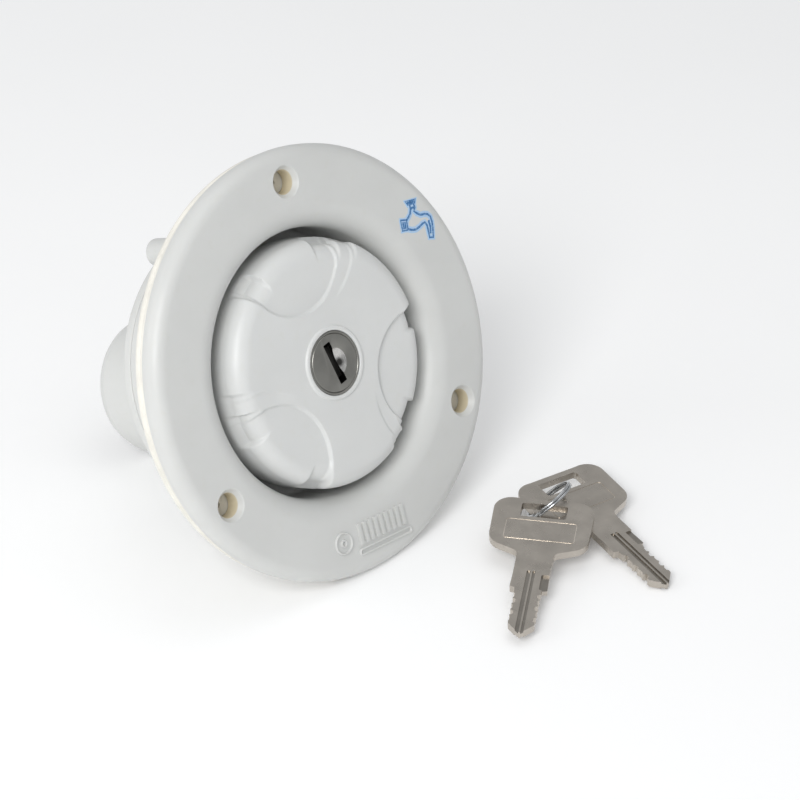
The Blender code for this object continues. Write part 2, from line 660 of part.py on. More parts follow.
def make_cam(parent):
    """A disc with two spiral slots, which push the bolts' pins out as it turns."""
    disc = [polar(CAM_R, 7.5 * i) for i in range(48)]
    square = rectangle(TANG_SIDE + 2 * GAP, TANG_SIDE + 2 * GAP)
    half = BOLT_PIN_R + GAP
    slots = []
    for start in bolt_turns():
        first = -degrees(asin(half / BOLT_PIN_START)) - 1
        last = KEY_TURN + degrees(asin(half / (BOLT_PIN_START + BOLT_TRAVEL))) + 1
        turns = [first + (last - first) * i / 14 for i in range(15)]
        spiral = [(BOLT_PIN_START + BOLT_TRAVEL * turn / KEY_TURN, start + turn) for turn in turns]
        outside = [polar(r + half, t) for r, t in spiral]
        inside = [polar(r - half, t) for r, t in spiral]
        slots.append(outside + inside[::-1])
    plate("drive_cam", [disc, square, *slots], CAM_TOP, CAM_BACK, steel, parent)


def make_bolt(name, turn, parent):
    length = BOLT_TIP - BOLT_INNER
    middle = (BOLT_INNER + length / 2, 0, (BOLT_TOP + BOLT_BACK) / 2)
    bolt = box(name, (length, BOLT_WIDTH, BOLT_THICK), middle, steel, parent, turn)
    at = polar(BOLT_PIN_START, turn)
    pin = rod(name + "_pin", BOLT_PIN_R, CAM_TOP - GAP, BOLT_TOP - 1, at=at, cutter=True)
    return combine(bolt, [pin], "UNION")


def round_corner(x, y, radius, start):
    return [(x + radius * cos(radians(t)), y + radius * sin(radians(t))) for t in range(start, start + 91, 30)]


def make_key(name, parent):
    """A flat key with its window for the ring: X runs from the end of the bow to the tip."""
    tip, turn, height, dip = KEY_LAYS[name]
    half, corner = BOW_WIDTH / 2, BOW_CORNER
    neck = BOW_LENGTH + SHOULDER_LENGTH
    shoulder, blade = SHOULDER_WIDTH / 2, BLADE_WIDTH / 2
    upper = [(KEY_LENGTH, 0), (KEY_LENGTH - 3, blade), (neck, blade), (neck, shoulder)]
    upper += [(BOW_LENGTH + 2, shoulder)]
    upper += round_corner(BOW_LENGTH - corner, half - corner, corner, 0)
    upper += round_corner(corner, half - corner, corner, 90)
    lower = [(x, -y) for x, y in reversed(upper[1:])]
    length, width = BOW_HOLE
    hole_x = BOW_HOLE_IN + length / 2
    top = KEY_MIDDLE + KEY_THICK / 2
    key = plate(name, [upper + lower, rectangle(length, width, (hole_x, 0))], top, top - KEY_THICK, nickel, parent)
    long, wide, deep = LABEL
    panel_at = (BOW_HOLE_IN + length + 1.4 + long / 2, 0, top + (CUT - deep) / 2)
    panel = box(name + "_label", (long, wide, deep + CUT), panel_at, parent=parent, cutter=True)
    lay = Matrix.Translation(Vector((*tip, height)) * MM) @ Matrix.Rotation(radians(turn), 4, "Z")
    lay = lay @ Matrix.Translation(Vector((hole_x - KEY_LENGTH, 0, 0)) * MM)
    lay = lay @ Matrix.Rotation(radians(dip), 4, "Y") @ Matrix.Translation((-hole_x * MM, 0, 0))
    key.data.transform(lay)
    panel.data.transform(lay)
    return combine(key, [panel])


def bench_frame():
    """The bench that the fitting leans on: it touches the flange's rim and the end of the spout."""
    rim_height = FACE - FLANGE_EDGE
    reach = FLANGE_R - (SPOUT_R + SPOUT_DROP * cos(radians(BENCH_ROLL)))
    lean = atan(reach / (rim_height - SPOUT_END))
    at = (*polar(FLANGE_R, BENCH_ROLL - 90), rim_height)
    made = empty("bench_frame", frame, at=at)
    spin = Matrix.Rotation(radians(BENCH_ROLL), 4, "Z")
    tip = Matrix.Rotation(lean - radians(90), 4, "X")
    made.rotation_euler = (spin @ tip).to_euler()
    return made


def make_keys():
    bench = bench_frame()
    for name in KEY_LAYS:
        make_key(name, bench)
    turn = Matrix.Rotation(radians(RING_HEADING), 4, "Z") @ Matrix.Rotation(radians(RING_TILT), 4, "X")
    x, y, height = RING_AT
    torus("split_ring", RING_R, RING_WIRE_R, height, nickel, bench, turn.to_euler(), (x, y))


clear_scene()
parts = new_collection("deck_fill_cap")
cutters = new_collection("cutters", hidden=True)
white = finish("white_plastic", (0.78, 0.79, 0.77), 0.42)
cream = finish("cream_gasket", (0.85, 0.82, 0.72), 0.7)
rubber = finish("black_rubber", (0.03, 0.03, 0.03), 0.8)
acetal = finish("acetal", (0.82, 0.80, 0.74), 0.35)
steel = finish("stainless_steel", (0.55, 0.55, 0.54), 0.3, 1.0)
nickel = finish("nickel", (0.45, 0.43, 0.40), 0.35, 1.0)
brass = finish("brass", (0.70, 0.52, 0.22), 0.35, 1.0)

frame = empty("fitting_frame", turn=(radians(90), 0, 0))
lift_frame = empty("cap_lift_axis", frame)
cap_frame = empty("cap_turn_axis", lift_frame)
plug_frame = empty("key_turn_axis", cap_frame)

make_housing()
make_gasket()
make_spout()
make_seals(lift_frame)
make_cap_shell(cap_frame)
make_cap_core(cap_frame)
make_cap_fasteners(cap_frame)
make_barrel(cap_frame)
make_plug(plug_frame)
make_cam(plug_frame)
make_shutter(plug_frame)
make_wafers(plug_frame)
for bolt_name, bolt_turn in zip(("lock_bolt_a", "lock_bolt_b"), bolt_turns()):
    make_bolt(bolt_name, bolt_turn, cap_frame)
make_keys()
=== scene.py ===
"""Fill cap with lock and keys: the finished surfaces that go round the solid parts.

Shapes are drawn in millimetres in the fitting's own frame, looking at its face: X right, Y towards the
top screw and Z out of the panel. STAND puts them in the parts' frame, in metres, with the face along -Y.
"""

from math import atan, ceil, cos, pi, radians, sin, tan

import bmesh
import bpy
import numpy as np
from bpy.props import FloatProperty, FloatVectorProperty, IntProperty, PointerProperty
from mathutils import Matrix, Vector


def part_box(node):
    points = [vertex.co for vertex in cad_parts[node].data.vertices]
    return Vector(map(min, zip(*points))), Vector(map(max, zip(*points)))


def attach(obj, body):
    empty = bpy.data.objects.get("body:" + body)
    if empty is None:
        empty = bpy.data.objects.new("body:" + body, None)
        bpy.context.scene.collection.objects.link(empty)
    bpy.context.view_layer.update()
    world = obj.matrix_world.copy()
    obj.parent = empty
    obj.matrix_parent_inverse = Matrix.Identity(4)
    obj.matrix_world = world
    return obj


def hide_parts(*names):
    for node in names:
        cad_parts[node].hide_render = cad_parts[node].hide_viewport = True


bl_info = {
    "name": "Lockable Fill Cap",
    "version": (1, 0, 0),
    "blender": (4, 5, 0),
    "location": "View3D > Sidebar > Fill Cap",
    "description": "Builds the finished surfaces of a recessed filler with a lockable cap and its keys",
    "category": "Object",
}

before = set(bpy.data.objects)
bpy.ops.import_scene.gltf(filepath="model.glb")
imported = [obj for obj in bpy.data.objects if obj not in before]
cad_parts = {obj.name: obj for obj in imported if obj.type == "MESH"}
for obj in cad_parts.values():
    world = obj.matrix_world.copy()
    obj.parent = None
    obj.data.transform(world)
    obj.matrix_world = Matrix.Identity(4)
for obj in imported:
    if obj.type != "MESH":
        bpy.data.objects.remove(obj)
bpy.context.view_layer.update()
STAND = Matrix.Rotation(radians(90), 4, "X") @ Matrix.Scale(0.001, 4)


def half_width(node):
    low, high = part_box(node)
    return (high.x - low.x) * 500


def front(node):
    return -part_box(node)[0].y * 1000


def back(node):
    return -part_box(node)[1].y * 1000


FACE = front("flange_housing")
FLANGE_R = half_width("flange_housing")
FLANGE_BACK = FACE - 5.5
RECESS_R = 37.4
DRUM_R = half_width("spout_body")
DRUM_END = back("flange_housing")
FLOOR_TOP = FACE - 24.0
FLOOR_BACK = FLOOR_TOP - 3.0
NECK_R = half_width("cap_seal")
NECK_BORE_R = NECK_R - 3.2
NECK_TOP = back("cap_seal") - 0.3
LEDGE_BACK = NECK_TOP - 4.0
LEDGE_R = 19.3
NECK_END = -24.0
SCREW_CIRCLE_R = 51.1
COVER_TOP = front("spout_body")
COVER_BACK = COVER_TOP - 3.2
SPOUT_END = back("spout_body")
SPOUT_R = 20.5
SPOUT_DROP = 6.5
SPOUT_WALL = 2.5
NIPPLE_R = 4.0
NIPPLE_BORE_R = 2.2
NIPPLE_RISE = 33.0
NIPPLE_END = COVER_BACK - 25.0
REAR_SCREW_CIRCLE_R = 31.5
PILOT_R = 1.5
CAP_R = half_width("cap_shell")
CAP_TOP = front("cap_shell")
CAP_BOTTOM = back("cap_shell")
CAP_WALL = 2.5
CAP_DECK = 4.0
CAP_SCREW_CIRCLE_R = 29.0
CORE_R = 18.7
COVER_SCREW_CIRCLE_R = 17.05
LUG_TURN = 40
LOCK_R = half_width("lock_barrel")
LOCK_FACE = front("lock_barrel")
PLUG_R = half_width("lock_plug")
PLUG_BODY_R = 6.5
CASE_BORE_R = 6.8
WAFERS = [f"wafer_{i}" for i in range(1, 6)]
WAFER_LONG, WAFER_WIDE, WAFER_TRAVEL, WAFER_ROOM = 11.8, 5.2, 0.7, 0.6
SLOT_TURN = 104.5
SCALLOP_TURN = 100.5
KEY_THICK = 2.2
BENCH_ROLL = 5.0
EYE = (-501.15, 163.57, FACE + 612.62)
AIM = (10.36, -13.92, FACE + 13.0)


# Sizes and colours that can be changed


def length(name, description, default, low=0.0, high=100.0):
    return FloatProperty(
        name=name,
        description=description,
        default=default / 1000,
        min=low / 1000,
        max=high / 1000,
        unit="LENGTH",
        subtype="DISTANCE",
    )


def colour(name, description, default):
    return FloatVectorProperty(
        name=name, description=description, default=default, min=0, max=1, size=3, subtype="COLOR"
    )


def number(name, description, default, low, high):
    return FloatProperty(name=name, description=description, default=default, min=low, max=high)


class FlangeSettings(bpy.types.PropertyGroup):
    edge: length("Edge", "Rounding of the flange's outer edge", 4.0, 0.5, 5.0)
    lip: length("Lip", "Roll of the flange's face into the recess", 7.5, 1.0, 8.0)
    countersink: length("Countersink", "Radius of a screw's countersink at the face", 4.27, 3.0, 6.0)
    hole: length("Hole", "Radius of a screw hole", 3.3, 1.5, 3.6)
    line: length("Symbol line", "Width of the painted tap symbol's lines", 0.78, 0.2, 1.5)
    relief: length("Relief", "How far the blank badge stands off the face", 0.6, 0.1, 1.0)


class CapSettings(bpy.types.PropertyGroup):
    edge: length("Edge", "Rounding of the cap's outer edge", 5.0, 1.0, 6.0)
    scallop: length("Scallop", "Radius of a scallop's edge", 16.8, 8.0, 20.0)
    scallop_centre: length("Scallop centre", "How far a scallop's centre is from the axis", 33.0, 20.0, 40.0)
    scallop_depth: length("Scallop depth", "Depth of a scallop's floor", 1.05, 0.2, 2.0)
    grip_depth: length("Grip depth", "How far the grips are set into the cap's side", 2.0, 0.5, 2.4)
    grip_height: length("Grip height", "Height of the grips on the cap's side", 7.0, 3.0, 9.0)
    bead: length("Bead", "Height of the bead round the lock", 0.55, 0.0, 0.6)


class LockSettings(bpy.types.PropertyGroup):
    slot_length: length("Slot length", "Length of the key slot", 12.2, 8.0, 14.0)
    slot_width: length("Slot width", "Width of the key slot", 2.5, 1.5, 3.5)
    dish: length("Dish", "Radius of the polished dish beside the slot", 4.15, 2.0, 6.0)
    dish_depth: length("Dish depth", "Depth of the polished dish", 1.0, 0.2, 1.5)


class KeySettings(bpy.types.PropertyGroup):
    bow_width: length("Bow width", "Width of a key's bow", 28.6, 20.0, 30.0)
    bow_length: length("Bow length", "Length of a key's bow", 21.0, 15.0, 25.0)
    blade_width: length("Blade width", "Width of a key's blade", 7.3, 5.0, 9.0)
    cut: length("Cut", "Depth of a step in the blade's edge", 0.75, 0.2, 1.5)
    groove: length("Groove", "Width of each groove along the blade", 1.1, 0.5, 1.4)
    wire: length("Wire", "Thickness of the split ring's wire", 0.82, 0.5, 1.0)


class FinishSettings(bpy.types.PropertyGroup):
    white: colour("White", "Moulded white plastic", (0.615, 0.62, 0.605))
    cap_white: colour("Cap white", "The cap's white plastic", (0.665, 0.672, 0.662))
    cream: colour("Cream", "Soft gasket", (0.78, 0.76, 0.70))
    # the beige is painted shade on the walls inside the screw holes
    beige: colour("Beige", "Inside of the screw holes", (0.60, 0.53, 0.38))
    nickel: colour("Nickel", "Satin nickel of the lock", (0.29, 0.285, 0.265))
    key_nickel: colour("Key nickel", "Worn nickel of the keys", (0.51, 0.47, 0.42))
    ink: colour("Ink", "Paint of the tap symbol", (0.035, 0.15, 0.36))
    ink_edge: colour("Ink edge", "Thin paint round the tap symbol's lines", (0.36, 0.55, 0.78))


class StageSettings(bpy.types.PropertyGroup):
    lens: number("Lens", "Focal length in millimetres", 133.36, 20, 300)
    sky: number("Sky", "Strength of the room's light", 0.52, 0, 5)
    key_light: number("Key light", "Power of the large light", 9.0, 0, 100)
    fill_light: number("Fill light", "Power of each of the other lights", 2.0, 0, 100)
    rounds: IntProperty(
        name="Rounds", description="Faces round a large turned piece", default=256, min=64, max=720
    )


def settings(group):
    return getattr(bpy.context.scene, "fill_cap_" + group)


def mm(group, name):
    return getattr(settings(group), name) * 1000


# Shapes


def soften(points, closed=True):
    """Round the corners of an outline of (x, y) or (x, y, radius) points."""
    made = []
    count = len(points)
    for i, point in enumerate(points):
        here = Vector(point[:2])
        radius = point[2] if len(point) > 2 else 0
        if not radius or (not closed and i in (0, count - 1)):
            made.append(tuple(here))
            continue
        before = Vector(points[i - 1][:2]) - here
        after = Vector(points[(i + 1) % count][:2]) - here
        half = before.angle(after) / 2
        reach = min(radius / tan(half), 0.98 * min(before.length, after.length))
        first, last = before.normalized(), after.normalized()
        centre = here + (first + last).normalized() * (reach / cos(half))
        start, end = here + first * reach - centre, here + last * reach - centre
        sweep = start.angle(end)
        pieces = max(3, ceil(radius * 2.4 + sweep))
        for k in range(pieces + 1):
            t = k / pieces
            spoke = (start * sin((1 - t) * sweep) + end * sin(t * sweep)) / sin(sweep)
            made.append(tuple(centre + spoke))
    return made


def dense(points, step, closed=True):
    """Add points along an outline so that none of its sides is longer than step."""
    made = []
    pairs = list(zip(points, points[1:] + points[:1]))
    for first, last in pairs if closed else pairs[:-1]:
        pieces = max(1, ceil((Vector(last) - Vector(first)).length / step))
        made += [tuple(Vector(first).lerp(Vector(last), k / pieces)) for k in range(pieces)]
    return made if closed else made + [points[-1]]


def lathe(profile, steps=None, at=(0, 0)):
    """Spin a profile of (radius, height) points; one that doesn't start on the axis is a closed ring."""
    shape = bmesh.new()
    rim = [shape.verts.new((r, 0, z)) for r, z in profile]
    edges = [shape.edges.new(pair) for pair in zip(rim, rim[1:])]
    if profile[0][0] > 1e-6:
        edges.append(shape.edges.new((rim[-1], rim[0])))
    steps = steps or settings("stage").rounds
    bmesh.ops.spin(
        shape, geom=rim + edges, cent=(0, 0, 0), axis=(0, 0, 1), angle=2 * pi, steps=steps, use_merge=True
    )
    bmesh.ops.remove_doubles(shape, verts=shape.verts, dist=1e-4)
    bmesh.ops.recalc_face_normals(shape, faces=shape.faces)
    bmesh.ops.translate(shape, vec=(*at, 0), verts=shape.verts)
    return shape


def post(radius, top, bottom, at=(0, 0), steps=48):
    return lathe([(0, top), (radius, top), (radius, bottom), (0, bottom)], steps, at)


def turned(shape, turn):
    spin = Matrix.Rotation(radians(turn), 3, "Z")
    bmesh.ops.rotate(shape, cent=(0, 0, 0), matrix=spin, verts=shape.verts)
    return shape


def block(size, middle, turn=0.0):
    shape = bmesh.new()
    bmesh.ops.create_cube(shape, size=1)
    bmesh.ops.scale(shape, vec=size, verts=shape.verts)
    bmesh.ops.translate(shape, vec=middle, verts=shape.verts)
    return turned(shape, turn)


def slab(outlines, top, bottom, turn=0.0):
    """A flat outline with any holes in it, made as thick as from bottom to top."""
    shape = bmesh.new()
    edges = []
    for outline in outlines:
        rim = [shape.verts.new((x, y, bottom)) for x, y in outline]
        edges += [shape.edges.new(pair) for pair in zip(rim, rim[1:] + rim[:1])]
    bmesh.ops.triangle_fill(shape, use_beauty=True, use_dissolve=False, edges=edges)
    grown = bmesh.ops.extrude_face_region(shape, geom=list(shape.faces), use_keep_orig=True)
    moved = [part for part in grown["geom"] if isinstance(part, bmesh.types.BMVert)]
    bmesh.ops.translate(shape, vec=(0, 0, top - bottom), verts=moved)
    bmesh.ops.recalc_face_normals(shape, faces=shape.faces)
    return turned(shape, turn)


def polar(radius, turn):
    return (radius * cos(radians(turn)), radius * sin(radians(turn)))


def sector(inner, outer, start, end):
    turns = [start + (end - start) * i / 16 for i in range(17)]
    return [polar(outer, t) for t in turns] + [polar(inner, t) for t in reversed(turns)]


def circle(radius, at, count):
    return [(at[0] + x, at[1] + y) for x, y in (polar(radius, 360 / count * i) for i in range(count))]


def rectangle(long, wide, middle=(0, 0), corner=0.0):
    x, y = middle
    corners = ((-1, -1), (1, -1), (1, 1), (-1, 1))
    return soften([(x + i * long / 2, y + j * wide / 2, corner) for i, j in corners])


def as_mesh(name, shape):
    mesh = bpy.data.meshes.new(name)
    shape.to_mesh(mesh)
    shape.free()
    return mesh


def as_shape(mesh):
    shape = bmesh.new()
    shape.from_mesh(mesh)
    bpy.data.meshes.remove(mesh)
    return shape


def linked(name, data):
    """A new object of the data, put in the scene."""
    made = bpy.data.objects.new(name, data)
    bpy.context.scene.collection.objects.link(made)
    return made


def evaluated(thing):
    """The shape that an object's modifiers or bevel give it."""
    graph = bpy.context.evaluated_depsgraph_get()
    return as_shape(bpy.data.meshes.new_from_object(thing.evaluated_get(graph)))


def gather(shapes):
    """Several shapes as one, which keep clear of each other."""
    whole = bmesh.new()
    for shape in shapes:
        mesh = as_mesh("part", shape)
        whole.from_mesh(mesh)
        bpy.data.meshes.remove(mesh)
    return whole


def carve(shape, tools, operation="DIFFERENCE"):
    """Cut the tools out of a shape, or join them to it."""
    body = linked("blank", as_mesh("blank", shape))
    tool = linked("tool", as_mesh("tool", gather(tools)))
    change = body.modifiers.new("Carve", "BOOLEAN")
    change.operation = operation
    change.object = tool
    change.solver = "EXACT"
    made = evaluated(body)
    bmesh.ops.remove_doubles(made, verts=made.verts, dist=1e-4)
    for thing in (body, tool):
        bpy.data.objects.remove(thing, do_unlink=True)
    if not made.faces:
        raise RuntimeError("a cut left nothing of the shape")
    return made


def piece(name, shape, body, finishes, stands_for=(), sharp=32, place=STAND):
    """Put a finished shape in the parts' frame, on its body, in place of its solids."""
    shape.transform(place)
    mesh = as_mesh(name, shape)
    mesh.shade_smooth()
    mesh.set_sharp_from_angle(angle=radians(sharp))
    for finish in finishes:
        mesh.materials.append(finish_named(finish))
    made = linked(name, mesh)
    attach(made, body)
    if stands_for:
        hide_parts(*stands_for)
    return made


def soft_edges(made, width, segments=3, angle=40):
    """Round a piece's edges by width in millimetres."""
    bevel = made.modifiers.new("Edges", "BEVEL")
    bevel.width = width / 1000
    bevel.segments = segments
    bevel.limit_method = "ANGLE"
    bevel.angle_limit = radians(angle)
    bevel.use_clamp_overlap = True
    bevel.harden_normals = True


# Finishes


class Finish:
    """A material under construction: noise on Object coordinates drives its colour, gloss and surface."""

    def __init__(self, name):
        self.material = bpy.data.materials.new(name)
        self.material.use_nodes = True
        self.nodes = self.material.node_tree.nodes
        self.links = self.material.node_tree.links
        self.shader = self.nodes["Principled BSDF"]
        self.place = self.nodes.new("ShaderNodeTexCoord").outputs["Object"]

    def noise(self, scale, detail=3.0, stretch=(1, 1, 1), turn=(0, 0, 0)):
        source = self.place
        if stretch != (1, 1, 1) or turn != (0, 0, 0):
            mapping = self.nodes.new("ShaderNodeMapping")
            mapping.inputs["Scale"].default_value = stretch
            mapping.inputs["Rotation"].default_value = turn
            self.links.new(source, mapping.inputs["Vector"])
            source = mapping.outputs["Vector"]
        noise = self.nodes.new("ShaderNodeTexNoise")
        noise.inputs["Scale"].default_value = scale
        noise.inputs["Detail"].default_value = detail
        self.links.new(source, noise.inputs["Vector"])
        return noise.outputs["Fac"]

    def mix(self, factor, first, second):
        mix = self.nodes.new("ShaderNodeMix")
        mix.data_type = "RGBA"
        inputs = [mix.inputs[0], mix.inputs[6], mix.inputs[7]]
        for socket, value in zip(inputs, (factor, first, second)):
            if isinstance(value, bpy.types.NodeSocket):
                self.links.new(value, socket)
            elif isinstance(value, (int, float)):
                socket.default_value = value
            else:
                socket.default_value = (*value, 1.0)
        return mix.outputs[2]

    def between(self, value, low, high, start=0.3, end=0.7):
        span = self.nodes.new("ShaderNodeMapRange")
        for name, number in (("From Min", start), ("From Max", end), ("To Min", low), ("To Max", high)):
            span.inputs[name].default_value = number
        self.links.new(value, span.inputs["Value"])
        return span.outputs["Result"]

    def fix(self, values):
        for name, value in values.items():
            self.shader.inputs[name].default_value = value

    def colour(self, source):
        self.links.new(source, self.shader.inputs["Base Color"])

    def gloss(self, source):
        self.links.new(source, self.shader.inputs["Roughness"])

    def relief(self, *layers):
        """Bumps, each a (height, depth in millimetres) pair."""
        normal = None
        for height, depth in layers:
            bump = self.nodes.new("ShaderNodeBump")
            bump.inputs["Strength"].default_value = 1.0
            bump.inputs["Distance"].default_value = depth / 1000
            self.links.new(height, bump.inputs["Height"])
            if normal:
                self.links.new(normal, bump.inputs["Normal"])
            normal = bump.outputs["Normal"]
        self.links.new(normal, self.shader.inputs["Normal"])


def tint(rgb, share):
    return tuple(min(1.0, channel * share) for channel in rgb)


def moulded(name, rgb, low=0.36, high=0.47, grain=0.006):
    """Injection-moulded plastic: faint flow marks, a fine orange peel and a little dust-dulled gloss."""
    finish = Finish(name)
    flow = finish.noise(55, 4, stretch=(1, 0.6, 1.4))
    specks = finish.noise(420, 2)
    base = finish.mix(finish.between(flow, 0, 1), tint(rgb, 0.975), tint(rgb, 1.02))
    warm = (rgb[0] * 0.97, rgb[1] * 0.965, rgb[2] * 0.93)
    finish.colour(finish.mix(finish.between(specks, 0, 0.35, 0.58, 0.75), base, warm))
    finish.gloss(finish.between(finish.noise(140, 3), low, high))
    finish.relief((finish.noise(900, 2), grain), (finish.noise(2600, 1), grain / 2))
    depths = (0.0012, 0.001, 0.0008)
    finish.fix({"IOR": 1.49, "Subsurface Weight": 0.06, "Subsurface Radius": depths})
    return finish.material


def metal(name, rgb, low, high, scratch=0.004, turn=0.0, wear=0.85):
    """Plated or bare metal with a drawn grain, wear and fine scratches."""
    finish = Finish(name)
    grain = finish.noise(500, 4, stretch=(0.08, 1, 1), turn=(0, radians(turn), 0))
    cross = finish.noise(700, 3, stretch=(1, 1, 0.07), turn=(0, radians(turn + 35), 0))
    patches = finish.noise(160, 5)
    base = finish.mix(finish.between(patches, 0, 1), tint(rgb, wear), tint(rgb, 1.08))
    finish.colour(finish.mix(finish.between(cross, 0, 0.4, 0.6, 0.8), base, tint(rgb, 1.35)))
    finish.gloss(finish.between(finish.noise(260, 4), low, high))
    finish.relief((grain, scratch), (cross, scratch * 0.6))
    finish.fix({"Metallic": 1.0})
    return finish.material


def soft_rubber(name, rgb, rough=0.62):
    finish = Finish(name)
    bloom = finish.noise(120, 5)
    finish.colour(finish.mix(finish.between(bloom, 0, 1), tint(rgb, 0.9), tint(rgb, 1.05)))
    finish.gloss(finish.between(finish.noise(300, 3), rough - 0.08, rough + 0.08))
    finish.relief((finish.noise(1300, 3), 0.012))
    return finish.material


def polished_dish(name):
    """Mirror-like plating with a painted dark reflection: its colour goes near-black in the middle of the
    dish.
    """
    finish = Finish(name)
    away = finish.nodes.new("ShaderNodeVectorMath")
    away.operation = "DISTANCE"
    away.inputs[1].default_value = STAND @ Vector((2.1, -0.4, LOCK_FACE - 0.8))
    finish.links.new(finish.place, away.inputs[0])
    painted_dark_reflection = finish.between(away.outputs["Value"], 0, 1, 0.0007, 0.0016)
    smear = finish.noise(900, 3, stretch=(1, 1, 0.4))
    bright = finish.mix(finish.between(smear, 0, 1), (0.42, 0.41, 0.40), (0.68, 0.67, 0.65))
    # painted dark reflection: the middle of the dish is coloured near-black, the rest keeps the plating's
    # colour
    finish.colour(finish.mix(painted_dark_reflection, (0.07, 0.068, 0.065), bright))
    finish.gloss(finish.between(smear, 0.16, 0.3))
    finish.relief((smear, 0.002))
    finish.fix({"Metallic": 1.0})
    return finish.material


def paint(name, rgb, paper):
    """Paint wiped into the moulding's lines: thin in places."""
    finish = Finish(name)
    thin = finish.noise(1500, 3)
    finish.colour(finish.mix(finish.between(thin, 0, 0.6, 0.45, 0.75), rgb, paper))
    finish.gloss(finish.between(finish.noise(700, 2), 0.4, 0.55))
    finish.relief((thin, 0.01))
    return finish.material


def finish_named(name):
    """Each finish is made once, when a piece first asks for it."""
    if name in bpy.data.materials:
        return bpy.data.materials[name]
    colours = settings("finish")
    recipes = {
        "white_moulding": lambda: moulded(name, colours.white),
        "cap_moulding": lambda: moulded(name, colours.cap_white, 0.33, 0.43),
        "inner_moulding": lambda: moulded(name, tint(colours.white, 1.03), 0.42, 0.55, 0.01),
        "cream_soft_ring": lambda: soft_rubber(name, colours.cream),
        # painted shade: beige on the walls inside the flange's screw holes
        "beige_hole_painted_shade": lambda: soft_rubber(name, colours.beige),
        "black_seal": lambda: soft_rubber(name, (0.018, 0.018, 0.019), 0.5),
        "natural_washer": lambda: moulded(name, (0.70, 0.66, 0.57), 0.3, 0.4),
        "satin_nickel": lambda: metal(name, colours.nickel, 0.3, 0.42),
        "polished_dish": lambda: polished_dish(name),
        "key_plate": lambda: metal(name, colours.key_nickel, 0.24, 0.36, 0.002, 30, 0.9),
        # painted highlight: a lighter nickel on the frame round the key's panel
        "key_line_painted_highlight": lambda: metal(name, tint(colours.key_nickel, 1.5), 0.34, 0.44, 0.001),
        # painted shade: a darker nickel on the floors of the grooves along the blade
        "key_groove_painted_shade": lambda: metal(name, tint(colours.key_nickel, 0.62), 0.3, 0.4, 0.003, 30),
        "ring_wire": lambda: metal(name, (0.55, 0.56, 0.57), 0.12, 0.25, 0.002),
        "stainless": lambda: metal(name, (0.50, 0.50, 0.49), 0.2, 0.34, 0.003, 60),
        "wafer_brass": lambda: metal(name, (0.62, 0.43, 0.16), 0.25, 0.4),
        # near-black: the shutter flap's own dark colour, and painted shade on the plug's walls inside the
        # keyway
        "dark_flap_and_painted_keyway_shade": lambda: metal(name, (0.035, 0.034, 0.032), 0.35, 0.55),
        "blue_paint": lambda: paint(name, colours.ink, colours.ink_edge),
        "blue_paint_edge": lambda: paint(name, colours.ink_edge, colours.white),
    }
    return recipes[name]()


# Pieces


def cap_turns(start, count=3):
    return [start + 360 / count * i for i in range(count)]


def make_housing():
    lip, edge = mm("flange", "lip"), mm("flange", "edge")
    outline = [(FLANGE_R, FACE, edge), (FLANGE_R, FLANGE_BACK, 0.5), (DRUM_R, FLANGE_BACK, 0.3)]
    outline += [(DRUM_R, DRUM_END, 0.3), (RECESS_R, DRUM_END, 0.2), (RECESS_R, FLOOR_BACK, 0.6)]
    outline += [(NECK_R, FLOOR_BACK, 0.6), (NECK_R, NECK_END, 0.4), (NECK_BORE_R, NECK_END, 0.4)]
    outline += [(NECK_BORE_R, LEDGE_BACK, 0.3), (LEDGE_R, LEDGE_BACK, 0.4), (LEDGE_R, NECK_TOP, 0.5)]
    outline += [(NECK_R, NECK_TOP, 0.5), (NECK_R, FLOOR_TOP, 0.8), (RECESS_R, FLOOR_TOP, 1.2)]
    profile = soften(outline + [(RECESS_R, FACE, lip)])
    shape = lathe(dense(profile, 6.0))
    boss = 4
    places = [polar(REAR_SCREW_CIRCLE_R, turn) for turn in cap_turns(45, 4)]
    shape = carve(shape, [post(boss, FLOOR_BACK + 0.5, DRUM_END, at) for at in places], "UNION")
    sink, hole = mm("flange", "countersink"), mm("flange", "hole")
    cup = [(0, FACE + 1), (sink + 0.6, FACE + 1), (sink + 0.35, FACE - 0.02), (sink + 0.1, FACE - 0.18)]
    cup += [(sink - 0.05, FACE - 0.45), (sink - 0.3, FACE - 0.9), (hole + 0.15, FACE - 1.5)]
    cup += [(hole, FACE - 1.8), (hole, FLANGE_BACK - 1), (0, FLANGE_BACK - 1)]
    tools = [lathe(cup, 64, polar(SCREW_CIRCLE_R, turn)) for turn in cap_turns(90)]
    tools += [post(PILOT_R, DRUM_END + 6, DRUM_END - 1, at, 24) for at in places]
    half_slot, slot_floor = 21, 22.2
    for turn in cap_turns(LUG_TURN):
        slot = sector(17, slot_floor, turn - half_slot, turn + half_slot)
        tools.append(slab([slot], NECK_TOP + 0.5, LEDGE_BACK - 0.5))
    window, window_at = (5.2, 9.6, 5.2), (NECK_BORE_R + 1.6, 0, -18.3)
    for turn in (SLOT_TURN, SLOT_TURN + 180):
        tools += [block(window, window_at, turn + lap) for lap in (0, -60)]
    air_hole, air_hole_at = 1.8, (0, 31.3)
    tools.append(post(air_hole, FLOOR_TOP + 1, FLOOR_BACK - 1, air_hole_at, 32))
    shape = carve(shape, tools)
    # the hole walls below the countersinks are coloured beige: painted shade
    for face in shape.faces:
        middle = face.calc_center_median()
        for turn in cap_turns(90):
            near = (Vector(middle[:2]) - Vector(polar(SCREW_CIRCLE_R, turn))).length
            if near < hole + 0.25 and middle.z < FACE - 1.5:
                face.material_index = 1
    finishes = ["white_moulding", "beige_hole_painted_shade"]
    piece("housing_moulding", shape, "housing", finishes, ["flange_housing"])


